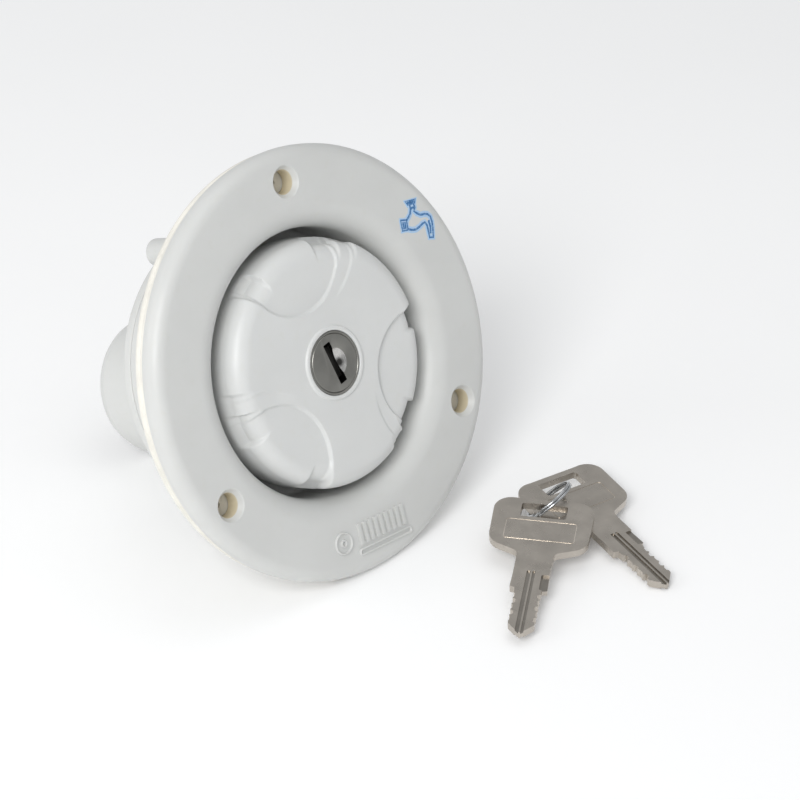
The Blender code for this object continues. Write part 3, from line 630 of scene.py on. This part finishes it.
def make_gasket():
    outer = half_width("flange_gasket")
    top, bottom = front("flange_gasket"), back("flange_gasket")
    middle, inner = (top + bottom) / 2, DRUM_R + 0.4
    outline = [(outer, top, 0.7), (outer, middle + 0.6, 0.2), (outer - 0.6, middle, 0.2)]
    outline += [(outer, middle - 0.6, 0.2), (outer, bottom, 0.7), (inner, bottom, 0.4), (inner, top, 0.4)]
    pinhole = 0.8
    profile = soften(outline)
    holes = [post(pinhole, top + 1, bottom - 1, polar(SCREW_CIRCLE_R, turn)) for turn in cap_turns(90)]
    shape = carve(lathe(dense(profile, 5.0)), holes)
    piece("gasket_ring", shape, "housing", ["cream_soft_ring"], ["flange_gasket"])


def make_spout():
    face, root = COVER_TOP + 0.2, COVER_BACK + 1.5
    plate = soften([(0, face), (DRUM_R, face, 0.1), (DRUM_R, COVER_BACK, 0.8), (0, COVER_BACK)], False)
    flare, heel = SPOUT_R + 6, COVER_BACK + 0.3
    outline = [(0, root), (flare, root), (flare, heel), (SPOUT_R, heel, 4.5)]
    outline += [(SPOUT_R, SPOUT_END + 3.0, 1.5), (SPOUT_R - 1.1, SPOUT_END, 0.4), (0, SPOUT_END)]
    pipe = soften(outline, False)
    flare, heel = NIPPLE_R + 1.2, COVER_BACK + 0.2
    outline = [(0, root), (flare, root), (flare, heel), (NIPPLE_R, heel, 0.9)]
    nipple = soften(outline + [(NIPPLE_R, NIPPLE_END, 0.6), (0, NIPPLE_END)], False)
    tubes = [lathe(dense(pipe, 6.0, False), 160, (0, -SPOUT_DROP)), lathe(nipple, 48, (0, NIPPLE_RISE))]
    shape = carve(lathe(dense(plate, 6.0, False)), tubes, "UNION")
    bore = SPOUT_R - SPOUT_WALL
    mouth = [(0, COVER_TOP + 1), (bore, COVER_TOP + 1), (bore, SPOUT_END + 0.6), (bore + 0.6, SPOUT_END)]
    mouth += [(bore + 0.6, SPOUT_END - 1), (0, SPOUT_END - 1)]
    tools = [lathe(dense(mouth, 6.0, False), 128, (0, -SPOUT_DROP))]
    tools.append(post(NIPPLE_BORE_R, COVER_TOP + 1, NIPPLE_END - 1, (0, NIPPLE_RISE), 32))
    for turn in cap_turns(45, 4):
        tools.append(post(PILOT_R, COVER_TOP + 1, COVER_BACK - 1, polar(REAR_SCREW_CIRCLE_R, turn), 24))
    shape = carve(shape, tools)
    piece("spout_moulding", shape, "housing", ["white_moulding"], ["spout_body"])


def wire(paths, thick):
    """Round wire along paths of (x, y, z) points, each of them closed or not, as one shape."""
    curve = bpy.data.curves.new("wire", "CURVE")
    curve.dimensions = "3D"
    curve.bevel_depth = thick / 2
    curve.bevel_resolution = 3
    curve.use_fill_caps = True
    for path, closed in paths:
        spline = curve.splines.new("POLY")
        spline.points.add(len(path) - 1)
        for point, place in zip(spline.points, path):
            point.co = (*place, 1)
        spline.use_cyclic_u = closed
    guide = linked("wire", curve)
    shape = evaluated(guide)
    bpy.data.objects.remove(guide, do_unlink=True)
    for face in shape.faces:
        face.material_index = 0
    bmesh.ops.remove_doubles(shape, verts=shape.verts, dist=1e-5)
    bmesh.ops.recalc_face_normals(shape, faces=shape.faces)
    return shape


def ribbon(paths, width, height, level):
    """Low rounded ridges along flat paths, as one shape."""
    shape = wire([([(x, y, 0) for x, y in path], closed) for path, closed in paths], width)
    bmesh.ops.scale(shape, vec=(1, 1, height / (width / 2)), verts=shape.verts)
    bmesh.ops.translate(shape, vec=(0, 0, level), verts=shape.verts)
    return shape


def make_marks():
    """The water tap sign, painted in its lines, and a blank badge in relief."""
    handle = [(40.0, 34.3), (43.8, 34.0), (43.3, 33.1), (40.7, 33.2)]
    inlet = [(36.8, 29.8), (38.9, 29.3), (38.7, 26.5), (36.6, 26.8)]
    stem_left = [(41.4, 33.0), (41.3, 31.8), (40.8, 30.7), (40.0, 29.9), (38.9, 29.2)]
    stem_right = [(42.8, 33.0), (43.0, 31.8), (42.4, 30.9), (43.3, 30.0), (44.5, 29.2), (45.8, 29.1)]
    stem_right += [(47.1, 28.7), (47.9, 27.8), (48.1, 26.2), (47.8, 24.2), (47.3, 21.9), (45.9, 22.2)]
    stem_right += [(46.0, 24.2), (46.0, 25.8), (45.4, 26.8), (44.4, 26.7), (43.2, 26.2), (41.6, 25.8)]
    stem_right += [(40.0, 26.1), (38.8, 26.7)]
    collar = [(41.3, 31.8), (42.1, 32.0), (43.0, 31.8)]
    spout_inner = [(47.0, 27.0), (47.1, 25.0), (46.6, 23.2)]
    lines = [(handle, True), (inlet, True), (stem_left, False), (stem_right, False), (collar, False)]
    bars = [([(40.6, 33.7), (43.2, 33.6)], False), ([(37.4, 29.2), (37.3, 27.1)], False)]
    bars += [([(38.2, 29.0), (38.0, 27.0)], False), ([(41.6, 33.9), (42.5, 33.3)], False)]
    width = mm("flange", "line")
    sign = ribbon(lines + bars + [(spout_inner, False)], width, 0.06, FACE)
    halo = ribbon(lines + bars, width * 2.3, 0.035, FACE)
    piece("tap_sign", sign, "housing", ["blue_paint"], sharp=80)
    piece("tap_sign_edge", halo, "housing", ["blue_paint_edge"], sharp=80)
    relief, white = mm("flange", "relief"), ["white_moulding"]
    rule = rectangle(19.6, 1.5, (4.6, -53.3), 0.6)
    ring_at = (-10.2, -48.8)
    ring, dot = circle(2.9, ring_at, 24), circle(0.9, ring_at, 12)
    badge = ribbon([(rule, True), (ring, True), (dot, True)], 0.7, relief, FACE)
    first, pitch = -3.9, 2.05
    places = [(first + i * pitch, -48.3) for i in range(9)]
    ribs = [slab([rectangle(1.15, 6.0, at, 0.35)], FACE + relief, FACE - 0.2) for at in places]
    piece("blank_badge", badge, "housing", white)
    soft_edges(piece("badge_ribs", gather(ribs), "housing", white), 0.2, 2)


def smooth_step(values, low, high):
    t = np.clip((values - low) / (high - low), 0, 1)
    return t * t * (3 - 2 * t)


# Where each grip starts and ends, in degrees from its scallop's middle, and its share of the full depth
GRIPS = ((19, 31, 1.0), (-33, -17, 1.0), (-43, -33, 0.45), (-17, 19, 0.12))


def make_cap_shell():
    """The cap's outer shell: a turned blank whose face and side are then pressed in, three times round."""
    edge, bead = mm("cap", "edge"), mm("cap", "bead")
    hole = LOCK_R - 0.25
    top = CAP_TOP + bead
    corners = [(hole, CAP_TOP - CAP_DECK), (hole, top, 0.35), (hole + 1.1, top, 0.45)]
    corners += [(hole + 1.45, CAP_TOP, 0.25), (CAP_R, CAP_TOP, edge), (CAP_R, CAP_BOTTOM, 0.5)]
    corners += [(CAP_R - CAP_WALL, CAP_BOTTOM, 0.4), (CAP_R - CAP_WALL, CAP_TOP - CAP_DECK, 0.3)]
    outline = soften(corners)
    profile = []
    for (x, y), after in zip(outline, outline[1:] + outline[:1]):
        pressed = min(y, after[1]) > CAP_TOP - 8.2 and max(x, after[0]) > hole + 1
        under = max(x, after[0]) < CAP_R - CAP_WALL + 0.1 and max(y, after[1]) < CAP_TOP - CAP_DECK + 0.5
        profile += dense([(x, y), after], 0.3 if pressed and not under else 3.0, False)[:-1]
    mesh = as_mesh("cap_blank", lathe(profile, 560))
    points = np.empty(len(mesh.vertices) * 3)
    mesh.vertices.foreach_get("co", points)
    points = points.reshape(-1, 3)
    x, y, z = points.T.copy()
    radius = np.hypot(x, y)
    angle = np.degrees(np.arctan2(y, x))
    outside = (z > CAP_TOP - 3.9) | (radius > CAP_R - 1.0)
    scallop, centre = mm("cap", "scallop"), mm("cap", "scallop_centre")
    press = np.zeros(len(x))
    inward = np.zeros(len(x))
    for middle in cap_turns(SCALLOP_TURN):
        turn = (angle - middle + 180) % 360 - 180
        cx, cy = polar(centre, middle)
        inside = scallop - np.hypot(x - cx, y - cy)
        floor = smooth_step(inside, -0.3, 0.4)
        press = np.maximum(press, floor * mm("cap", "scallop_depth"))
        cx, cy = polar(centre + 3.1, middle - 4)
        beside = smooth_step(21.5 - np.hypot(x - cx, y - cy), -0.3, 0.4)
        beside *= smooth_step(-turn, 6, 18) * smooth_step(radius, 16, 23)
        press = np.maximum(press, 0.38 * beside)
        for start, end, share in GRIPS:
            zone = smooth_step(turn, start - 0.9, start + 0.9)
            zone *= 1 - smooth_step(turn, end - 0.9, end + 0.9)
            inward = np.maximum(inward, zone * share)
    lowered = smooth_step(z, CAP_TOP - 9.5, CAP_TOP - edge)
    z = np.where(outside, z - press * lowered, z)
    level = points[:, 2]
    grip = CAP_TOP - mm("cap", "grip_height")
    reach = inward * mm("cap", "grip_depth") * smooth_step(level, grip - 0.25, grip + 0.25)
    reach = reach * smooth_step(radius, CAP_R - 9.5, CAP_R - edge)
    share = np.where(outside, (radius - reach) / radius, 1.0)
    mesh.vertices.foreach_set("co", np.stack([x * share, y * share, z], 1).ravel())
    shape = as_shape(mesh)
    piece("cap_moulding_shell", shape, "cap", ["cap_moulding"], ["cap_shell"], sharp=60)


def make_cap_inside():
    top, bottom = front("cap_core"), back("cap_core")
    outer = half_width("cap_core")
    flange = top - 4.1
    bore, floor, hub = 15.4, -3.0, 8.6
    outline = [(outer, top, 0.3), (outer, flange, 0.5), (CORE_R, flange, 0.8), (CORE_R, bottom, 0.5)]
    outline += [(bore, bottom, 0.3), (bore, floor, 0.3), (hub, floor, 0.2), (hub, top - 1.3)]
    profile = soften(outline + [(10.2, top - 1.3), (10.2, top, 0.2)])
    half_lug, lug_top, lug_back = 17, -6.4, -10.4
    rims = [sector(17.6, 21.4, turn - half_lug, turn + half_lug) for turn in cap_turns(LUG_TURN)]
    lugs = [slab([rim], lug_top, lug_back) for rim in rims]
    shape = carve(lathe(dense(profile, 5.0), 160), lugs, "UNION")
    tools = [block((6, 8.8, 6), (17, 0, -18.9), turn) for turn in (SLOT_TURN, SLOT_TURN + 180)]
    for turn in cap_turns(SCALLOP_TURN + 60):
        tools.append(post(1.4, top + 1, flange - 1, polar(CAP_SCREW_CIRCLE_R, turn), 24))
    cover_screws = [polar(COVER_SCREW_CIRCLE_R, SLOT_TURN + turn) for turn in (90, 270)]
    tools += [post(1.1, bottom + 4.8, bottom - 1, at, 24) for at in cover_screws]
    shape = carve(shape, tools)
    inner = ["inner_moulding"]
    soft_edges(piece("cap_core_moulding", shape, "cap", inner, ["cap_core"]), 0.2, 2, 50)
    cover_top, cover_back = front("bolt_cover"), back("bolt_cover")
    lid = [(0, cover_top), (CORE_R, cover_top, 0.3), (CORE_R, cover_back, 0.7), (6, cover_back, 0.3)]
    lid = soften(lid + [(5.2, cover_back + 0.5, 0.3), (0, cover_back + 0.5)], False)
    shape = carve(lathe(lid, 128), [post(1.1, cover_top + 1, cover_back - 1, at, 24) for at in cover_screws])
    piece("bolt_cover_moulding", shape, "cap", inner, ["bolt_cover"])
    seal_top, seal_back = front("cap_seal"), back("cap_seal")
    groove = (seal_top + seal_back) / 2
    seal = [(NECK_R, seal_top, 0.6), (NECK_R, groove + 0.5, 0.2), (NECK_R - 0.5, groove, 0.2)]
    seal += [(NECK_R, groove - 0.5, 0.2), (NECK_R, seal_back, 0.6)]
    seal = soften(seal + [(LEDGE_R, seal_back, 0.6), (LEDGE_R, seal_top, 0.6)])
    piece("seal_ring", lathe(seal, 192), "cap_seals", ["black_seal"], ["cap_seal"])
    low, high = back("slip_washer"), front("slip_washer")
    washer = soften([(NECK_R, high, 0.2), (NECK_R, low, 0.2), (LEDGE_R, low, 0.2), (LEDGE_R, high, 0.2)])
    shape = lathe(washer, 192)
    piece("washer_ring", shape, "cap_seals", ["natural_washer"], ["slip_washer"])


def screw_shape(shank, head, height, seat, tip, at):
    """A pan-head screw with its head to the back, a thread on its shank and a cross in its head."""
    foot = seat - height
    outline = [(0, tip), (shank * 0.6, tip, 0.1), (shank, tip - shank, 0.1)]
    turns = max(2, int((tip - shank - seat - 0.6) / 0.7))
    pitch = (tip - shank - seat - 0.5) / turns
    for i in range(turns):
        level = tip - shank - pitch * i
        outline += [(shank, level - pitch * 0.2), (shank * 0.78, level - pitch * 0.55)]
        outline.append((shank, level - pitch * 0.9))
    outline += [(shank, seat), (head, seat, 0.15), (head, foot + height * 0.3, head * 0.25)]
    outline += [(head * 0.55, foot, head * 0.3), (0, foot)]
    shape = lathe(soften(outline, False), 48)
    arm, deep = head * 0.28, height * 0.55
    for size in ((head * 1.25, arm, deep * 2), (arm, head * 1.25, deep * 2)):
        shape = carve(shape, [block(size, (0, 0, foot))])
    bmesh.ops.translate(shape, vec=(*at, 0), verts=shape.verts)
    return shape


def make_screws():
    sets = []
    for i, turn in enumerate(cap_turns(45, 4)):
        sets.append((f"rear_screw_{i + 1}", "housing", (1.2, 2.9, 2.0), polar(REAR_SCREW_CIRCLE_R, turn)))
    for i, turn in enumerate(cap_turns(SCALLOP_TURN + 60)):
        sets.append((f"cap_screw_{i + 1}", "cap", (1.1, 2.2, 1.8), polar(CAP_SCREW_CIRCLE_R, turn)))
    for i, turn in enumerate((SLOT_TURN + 90, SLOT_TURN + 270)):
        sets.append((f"cover_screw_{i + 1}", "cap", (0.8, 1.5, 1.2), polar(COVER_SCREW_CIRCLE_R, turn)))
    sets.append(("cam_screw", "lock_plug", (1.5, 3.0, 2.0), (0, 0)))
    for node, body, (shank, head, height), at in sets:
        seat = back(node) + height
        shape = screw_shape(shank, head, height, seat, front(node), at)
        piece(node.replace("screw", "pan_screw"), shape, body, ["stainless"], [node])


def make_lock():
    low, end = LOCK_FACE - 4.0, back("lock_barrel")
    rim, head = PLUG_R + 0.06, LOCK_R - 0.37
    outline = [(rim, LOCK_FACE - 0.14, 0.05), (rim + 0.14, LOCK_FACE, 0.05), (head, LOCK_FACE, 0.22)]
    outline += [(head, low, 0.1), (LOCK_R - 0.9, low), (LOCK_R - 0.9, end, 0.3), (CASE_BORE_R, end, 0.1)]
    barrel = soften(outline + [(CASE_BORE_R, LOCK_FACE - 2.9), (rim, LOCK_FACE - 2.9)])
    groove_end, groove_top = back(WAFERS[-1]) - 1, front(WAFERS[0]) + 2
    reach = WAFER_LONG + 2 * WAFER_TRAVEL + 2 * WAFER_ROOM
    groove = (reach, WAFER_WIDE + WAFER_ROOM, groove_top - groove_end)
    case = lathe(dense(barrel, 4.0), 160)
    for turn in (0, 90):
        case = carve(case, [block(groove, (0, 0, (groove_top + groove_end) / 2), SLOT_TURN + turn)])
    piece("lock_case", case, "cap", ["satin_nickel"], ["lock_barrel"])
    foot, step = -12.7, LOCK_FACE - 2.6
    outline = [(0, LOCK_FACE), (PLUG_R - 0.16, LOCK_FACE, 0.06), (PLUG_R, LOCK_FACE - 0.16, 0.06)]
    outline += [(PLUG_R, step), (PLUG_BODY_R, step), (PLUG_BODY_R, foot, 0.3), (0, foot)]
    plug = lathe(dense(soften(outline, False), 4.0, False), 160)
    shape = carve(plug, [block((5.4, 5.4, 4.3), (0, 0, -13.85))], "UNION")
    for wafer in WAFERS:
        slot = (2 * PLUG_BODY_R + 2, WAFER_WIDE + WAFER_ROOM, front(wafer) - back(wafer) + WAFER_ROOM)
        shape = carve(shape, [block(slot, (0, 0, (front(wafer) + back(wafer)) / 2), SLOT_TURN)])
    dish, deep = mm("lock", "dish"), mm("lock", "dish_depth")
    ball = (dish * dish + deep * deep) / (2 * deep)
    ball_at = LOCK_FACE - deep + ball
    cutter = bmesh.new()
    bmesh.ops.create_uvsphere(cutter, u_segments=160, v_segments=120, radius=ball)
    bmesh.ops.translate(cutter, vec=(0, 0, ball_at), verts=cutter.verts)
    whole = cutter.verts[:] + cutter.edges[:] + cutter.faces[:]
    away = (*polar(1, SLOT_TURN - 90), 0)
    cut = bmesh.ops.bisect_plane(cutter, geom=whole, plane_co=(0, 0, 0), plane_no=away, clear_inner=True)
    rim_edges = [part for part in cut["geom_cut"] if isinstance(part, bmesh.types.BMEdge)]
    bmesh.ops.edgeloop_fill(cutter, edges=rim_edges)
    bmesh.ops.recalc_face_normals(cutter, faces=cutter.faces)
    shape = carve(shape, [cutter])
    long, wide = mm("lock", "slot_length"), mm("lock", "slot_width")
    keyway = slab([rectangle(long, wide, corner=0.25)], LOCK_FACE + 1, -9.4, SLOT_TURN)
    shape = carve(shape, [keyway])
    across = Vector(polar(1, SLOT_TURN + 90))
    for face in shape.faces:
        centre = face.calc_center_median()
        on_ball = abs((centre - Vector((0, 0, ball_at))).length - ball) < 0.03
        if on_ball and LOCK_FACE - deep - 0.05 < centre.z < LOCK_FACE - 0.005:
            face.material_index = 1
        # the plug's walls inside the keyway are coloured near-black: painted shade
        elif abs(Vector(centre[:2]).dot(across)) < wide / 2 + 0.02 and centre.z < LOCK_FACE - 0.2:
            face.material_index = 2
    finishes = ["satin_nickel", "polished_dish", "dark_flap_and_painted_keyway_shade"]
    piece("key_plug", shape, "lock_plug", finishes, ["lock_plug"])


def dress_solids():
    """The solids that show as they are get their finishes."""
    table = {
        "stainless": ("barrel_nut", "drive_cam", "lock_bolt_a", "lock_bolt_b"),
        "wafer_brass": WAFERS,
        "black_seal": ("spout_o_ring", "barrel_o_ring"),
        "dark_flap_and_painted_keyway_shade": ("slot_shutter",),
    }
    for finish, names in table.items():
        for name in names:
            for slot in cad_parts[name].material_slots:
                slot.material = finish_named(finish)


KEY_LAYS = {  # where the tip lies on the bench, which way the key points, its height at the hole and its dip
    "key_a": ((-5.0, -54.4), -146.5, 6.8, 5.0),
    "key_b": ((43.0, -68.6), -104.5, 3.8, 3.9),
}
KEY_LENGTH = 58.5
HOLE_IN, HOLE_LONG, HOLE_WIDE = 2.4, 5.8, 13.0
RING_AT = (46.8, -20.5, 6.6)
RING_R = 7.4


def bench_place():
    """The bench that the fitting leans on touches the flange's rim and the end of the spout."""
    rim_height = FACE - 4.0
    reach = FLANGE_R - (SPOUT_R + SPOUT_DROP * cos(radians(BENCH_ROLL)))
    lean = atan(reach / (rim_height - SPOUT_END))
    at = Matrix.Translation((*polar(FLANGE_R, BENCH_ROLL - 90), rim_height))
    return at @ Matrix.Rotation(radians(BENCH_ROLL), 4, "Z") @ Matrix.Rotation(lean - radians(90), 4, "X")


def key_place(node):
    tip, turn, height, dip = KEY_LAYS[node]
    middle = HOLE_IN + HOLE_LONG / 2
    lay = Matrix.Translation((*tip, height)) @ Matrix.Rotation(radians(turn), 4, "Z")
    lay = lay @ Matrix.Translation((middle - KEY_LENGTH, 0, 0)) @ Matrix.Rotation(radians(dip), 4, "Y")
    return STAND @ bench_place() @ lay @ Matrix.Translation((-middle, 0, 0))


def key_shape(cuts):
    """A flat key with a cut on each side of its blade; X runs from the end of the bow to the tip."""
    half, long = mm("key", "bow_width") / 2, mm("key", "bow_length")
    blade, shoulder = mm("key", "blade_width") / 2, 5.2
    neck = long + 17.0
    step, tip = mm("key", "cut"), KEY_LENGTH - 2.3
    sides = []
    for side, depths in zip((1, -1), cuts):
        points = [(0, 0), (0.5, half * 0.55, 6.0), (0.2, half, 5.0), (long - 1.5, half - 0.4, 5.0)]
        points += [(long + 2.2, shoulder - 0.1, 2.2), (neck - 5, shoulder - 0.15), (neck, shoulder, 0.3)]
        points += [(neck + 0.3, blade + 0.1, 0.3), (neck + 2.2, blade, 0.2)]
        at = neck + 2.4
        for depth in depths:
            points += [(at, blade), (at + 0.45, blade - depth * step), (at + 1.65, blade - depth * step)]
            points.append((at + 2.1, blade))
            at += 2.35
        points += [(tip - 3.3, blade - 0.1, 0.4), (tip, 0.5, 0.3)]
        sides.append([(point[0], side * point[1], *point[2:]) for point in points])
    upper, lower = sides
    outline = soften(upper[1:] + lower[:0:-1])
    hole = rectangle(HOLE_LONG, HOLE_WIDE, (HOLE_IN + HOLE_LONG / 2, 0), 0.9)
    shape = slab([outline, hole], KEY_THICK, 0)
    panel = HOLE_IN + HOLE_LONG + 1.4 + 4.25
    start = neck - 7
    blade_long = KEY_LENGTH - start + 2
    run = start + blade_long / 2
    groove = mm("key", "groove")
    tools = []
    for level in (KEY_THICK, 0):
        frames = [rectangle(8.5, 20.0, (panel, 0), 0.9), rectangle(8.06, 19.56, (panel, 0), 0.7)]
        tools.append(slab(frames, level + 0.12, level - 0.12))
        for side, share in ((1, 0.7), (-1, 1.0)):
            wide = groove * share
            path = rectangle(blade_long, wide, (run, side * (wide / 2 + 0.25)), 0.3)
            tools.append(slab([path], level + 0.45, level - 0.45))
    tools.append(slab([rectangle(6.2, 2.6, (neck - 2.6, 4.2), 0.4)], KEY_THICK + 0.7, KEY_THICK - 0.7))
    shape = carve(shape, tools)
    for face in shape.faces:
        middle = face.calc_center_median()
        deep = min(KEY_THICK - middle.z, middle.z)
        # the frame round the panel gets the lighter nickel: a painted highlight
        if abs(middle.x - panel) < 4.6 and abs(middle.y) < 10.4 and 0.02 < deep < 0.14:
            face.material_index = 1
        # the floors of the grooves along the blade get the darker nickel: painted shade
        elif middle.x > start - 0.5 and 0.3 < deep < 0.72 and abs(face.normal.z) > 0.9:
            face.material_index = 2
    return shape


def make_keys():
    finishes = ["key_plate", "key_line_painted_highlight", "key_groove_painted_shade"]
    bitting = {
        "key_a": ((1.0, 0.5, 1.2, 0.4, 0.9), (0.5, 1.1, 0.6, 1.2, 0.4)),
        "key_b": ((0.6, 1.1, 0.4, 1.0, 0.6), (1.1, 0.5, 0.9, 0.5, 1.2)),
    }
    for node, cuts in bitting.items():
        shape = key_shape(cuts)
        place = key_place(node)
        made = piece(node + "_stamping", shape, "keys", finishes, [node], place=place)
        soft_edges(made, 0.16, 2, 35)


def make_ring():
    """Two close turns of wire whose ends lie side by side."""
    thick = mm("key", "wire")
    turns = np.linspace(0, 4 * pi - 0.25, 160)
    rise = smooth_step(turns, 2 * pi - 0.55, 2 * pi + 0.3) - 0.5
    path = [(RING_R * cos(turn), RING_R * sin(turn), lift * thick) for turn, lift in zip(turns, rise)]
    shape = wire([(path, False)], thick)
    lay = Matrix.Rotation(radians(197.8), 4, "Z") @ Matrix.Rotation(radians(45.5), 4, "X")
    place = STAND @ bench_place() @ Matrix.Translation(RING_AT) @ lay
    piece("split_ring_wire", shape, "keys", ["ring_wire"], ["split_ring"], 60, place)


def area_light(name, at, aim, size, power):
    data = bpy.data.lights.new(name, "AREA")
    data.shape = "DISK"
    data.size = size
    data.energy = power
    light = linked(name, data)
    light.location = at
    light.rotation_euler = (aim - at).to_track_quat("-Z", "Y").to_euler()


def make_stage():
    """The bench as a pale floor, soft light from the left and above, and the camera."""
    stage = settings("stage")
    bench = STAND @ bench_place()
    up = (bench.to_3x3() @ Vector((0, 0, 1))).normalized()
    face_centre = STAND @ Vector((0, 0, FACE))
    eye, aim = STAND @ Vector(EYE), STAND @ Vector(AIM)
    backward = (eye - aim).normalized()
    right = up.cross(backward).normalized()
    above = backward.cross(right)
    data = bpy.data.cameras.new("camera")
    data.lens = stage.lens
    data.sensor_width = 36
    camera = linked("camera", data)
    camera.matrix_world = Matrix.Translation(eye) @ Matrix((right, above, backward)).transposed().to_4x4()
    bpy.context.scene.camera = camera
    floor = Finish("pale_bench")
    cloud = floor.noise(6, 3)
    floor.colour(floor.mix(floor.between(cloud, 0, 1), (0.89, 0.89, 0.89), (0.91, 0.91, 0.91)))
    floor.fix({"Roughness": 0.7, "Emission Color": (1, 1, 1, 1), "Emission Strength": 0.1})
    side = floor.nodes.new("ShaderNodeNewGeometry").outputs["Backfacing"]
    clear = floor.nodes.new("ShaderNodeBsdfTransparent").outputs["BSDF"]
    mix = floor.nodes.new("ShaderNodeMixShader")
    floor.links.new(side, mix.inputs["Fac"])
    floor.links.new(floor.shader.outputs["BSDF"], mix.inputs[1])
    floor.links.new(clear, mix.inputs[2])
    floor.links.new(mix.outputs["Shader"], floor.nodes["Material Output"].inputs["Surface"])
    shape = bmesh.new()
    bmesh.ops.create_grid(shape, x_segments=8, y_segments=8, size=3000)
    shape.transform(bench)
    mesh = as_mesh("bench_top", shape)
    mesh.materials.append(floor.material)
    linked("bench_top", mesh)
    world = bpy.data.worlds.new("room")
    bpy.context.scene.world = world
    world.use_nodes = True
    room = world.node_tree.nodes["Background"]
    room.inputs["Color"].default_value = (0.97, 0.985, 1.0, 1.0)
    room.inputs["Strength"].default_value = stage.sky
    lamps = (
        ("key_light", (-0.95, -0.68, 0.5), 0.6, stage.key_light),
        ("side_light", (-1.1, 0.3, 0.6), 0.7, stage.fill_light),
        ("top_light", (0.2, -0.5, 1.2), 1.0, stage.fill_light),
    )
    for name, away, size, power in lamps:
        area_light(name, face_centre + Vector(away), face_centre, size, power)
    bpy.context.scene.view_settings.view_transform = "Standard"


# The add-on


class FILLCAP_OT_stage(bpy.types.Operator):
    """Set up the bench, the lights and the camera"""

    bl_idname = "fill_cap.stage"
    bl_label = "Stage"

    def execute(self, context):
        make_stage()
        return {"FINISHED"}


class FILLCAP_OT_housing(bpy.types.Operator):
    """Build the flange with its recess, neck and drum"""

    bl_idname = "fill_cap.housing"
    bl_label = "Housing"

    def execute(self, context):
        make_housing()
        return {"FINISHED"}


class FILLCAP_OT_gasket(bpy.types.Operator):
    """Build the soft ring behind the flange"""

    bl_idname = "fill_cap.gasket"
    bl_label = "Gasket"

    def execute(self, context):
        make_gasket()
        return {"FINISHED"}


class FILLCAP_OT_spout(bpy.types.Operator):
    """Build the rear cover with the spout and the air nipple"""

    bl_idname = "fill_cap.spout"
    bl_label = "Spout"

    def execute(self, context):
        make_spout()
        return {"FINISHED"}


class FILLCAP_OT_marks(bpy.types.Operator):
    """Add the painted tap sign and the blank badge"""

    bl_idname = "fill_cap.marks"
    bl_label = "Marks"

    def execute(self, context):
        make_marks()
        return {"FINISHED"}


class FILLCAP_OT_cap_shell(bpy.types.Operator):
    """Build the cap's shell with its scallops and grips"""

    bl_idname = "fill_cap.cap_shell"
    bl_label = "Cap shell"

    def execute(self, context):
        make_cap_shell()
        return {"FINISHED"}


class FILLCAP_OT_cap_inside(bpy.types.Operator):
    """Build the cap's core, lid, seal and washer"""

    bl_idname = "fill_cap.cap_inside"
    bl_label = "Cap inside"

    def execute(self, context):
        make_cap_inside()
        return {"FINISHED"}


class FILLCAP_OT_screws(bpy.types.Operator):
    """Build every screw"""

    bl_idname = "fill_cap.screws"
    bl_label = "Screws"

    def execute(self, context):
        make_screws()
        return {"FINISHED"}


class FILLCAP_OT_lock(bpy.types.Operator):
    """Build the lock's case and plug"""

    bl_idname = "fill_cap.lock"
    bl_label = "Lock"

    def execute(self, context):
        make_lock()
        return {"FINISHED"}


class FILLCAP_OT_inner_parts(bpy.types.Operator):
    """Give the lock's inner solids their finishes"""

    bl_idname = "fill_cap.inner_parts"
    bl_label = "Inner parts"

    def execute(self, context):
        dress_solids()
        return {"FINISHED"}


class FILLCAP_OT_keys(bpy.types.Operator):
    """Build the two keys"""

    bl_idname = "fill_cap.keys"
    bl_label = "Keys"

    def execute(self, context):
        make_keys()
        return {"FINISHED"}


class FILLCAP_OT_ring(bpy.types.Operator):
    """Build the keys' split ring"""

    bl_idname = "fill_cap.ring"
    bl_label = "Ring"

    def execute(self, context):
        make_ring()
        return {"FINISHED"}


OPERATORS = (
    FILLCAP_OT_stage,
    FILLCAP_OT_housing,
    FILLCAP_OT_gasket,
    FILLCAP_OT_spout,
    FILLCAP_OT_marks,
    FILLCAP_OT_cap_shell,
    FILLCAP_OT_cap_inside,
    FILLCAP_OT_screws,
    FILLCAP_OT_lock,
    FILLCAP_OT_inner_parts,
    FILLCAP_OT_keys,
    FILLCAP_OT_ring,
)


class FILLCAP_PT_panel(bpy.types.Panel):
    """Lists what the add-on builds and the sizes that it takes"""

    bl_label = "Fill Cap"
    bl_idname = "FILLCAP_PT_panel"
    bl_space_type = "VIEW_3D"
    bl_region_type = "UI"
    bl_category = "Fill Cap"

    def draw(self, context):
        for group in GROUPS:
            box = self.layout.box()
            box.label(text=group.title())
            values = settings(group)
            for name in values.__annotations__:
                box.prop(values, name)
        for button in OPERATORS:
            self.layout.operator(button.bl_idname)


GROUPS = {
    "flange": FlangeSettings,
    "cap": CapSettings,
    "lock": LockSettings,
    "key": KeySettings,
    "finish": FinishSettings,
    "stage": StageSettings,
}


def register():
    for group, kind in GROUPS.items():
        bpy.utils.register_class(kind)
        setattr(bpy.types.Scene, "fill_cap_" + group, PointerProperty(type=kind))
    for kind in (*OPERATORS, FILLCAP_PT_panel):
        bpy.utils.register_class(kind)


def unregister():
    for kind in (FILLCAP_PT_panel, *reversed(OPERATORS)):
        bpy.utils.unregister_class(kind)
    for group, kind in reversed(GROUPS.items()):
        delattr(bpy.types.Scene, "fill_cap_" + group)
        bpy.utils.unregister_class(kind)


def main():
    register()
    for button in OPERATORS:
        getattr(bpy.ops.fill_cap, button.bl_idname.split(".")[1])()


if __name__ == "__main__":
    main()
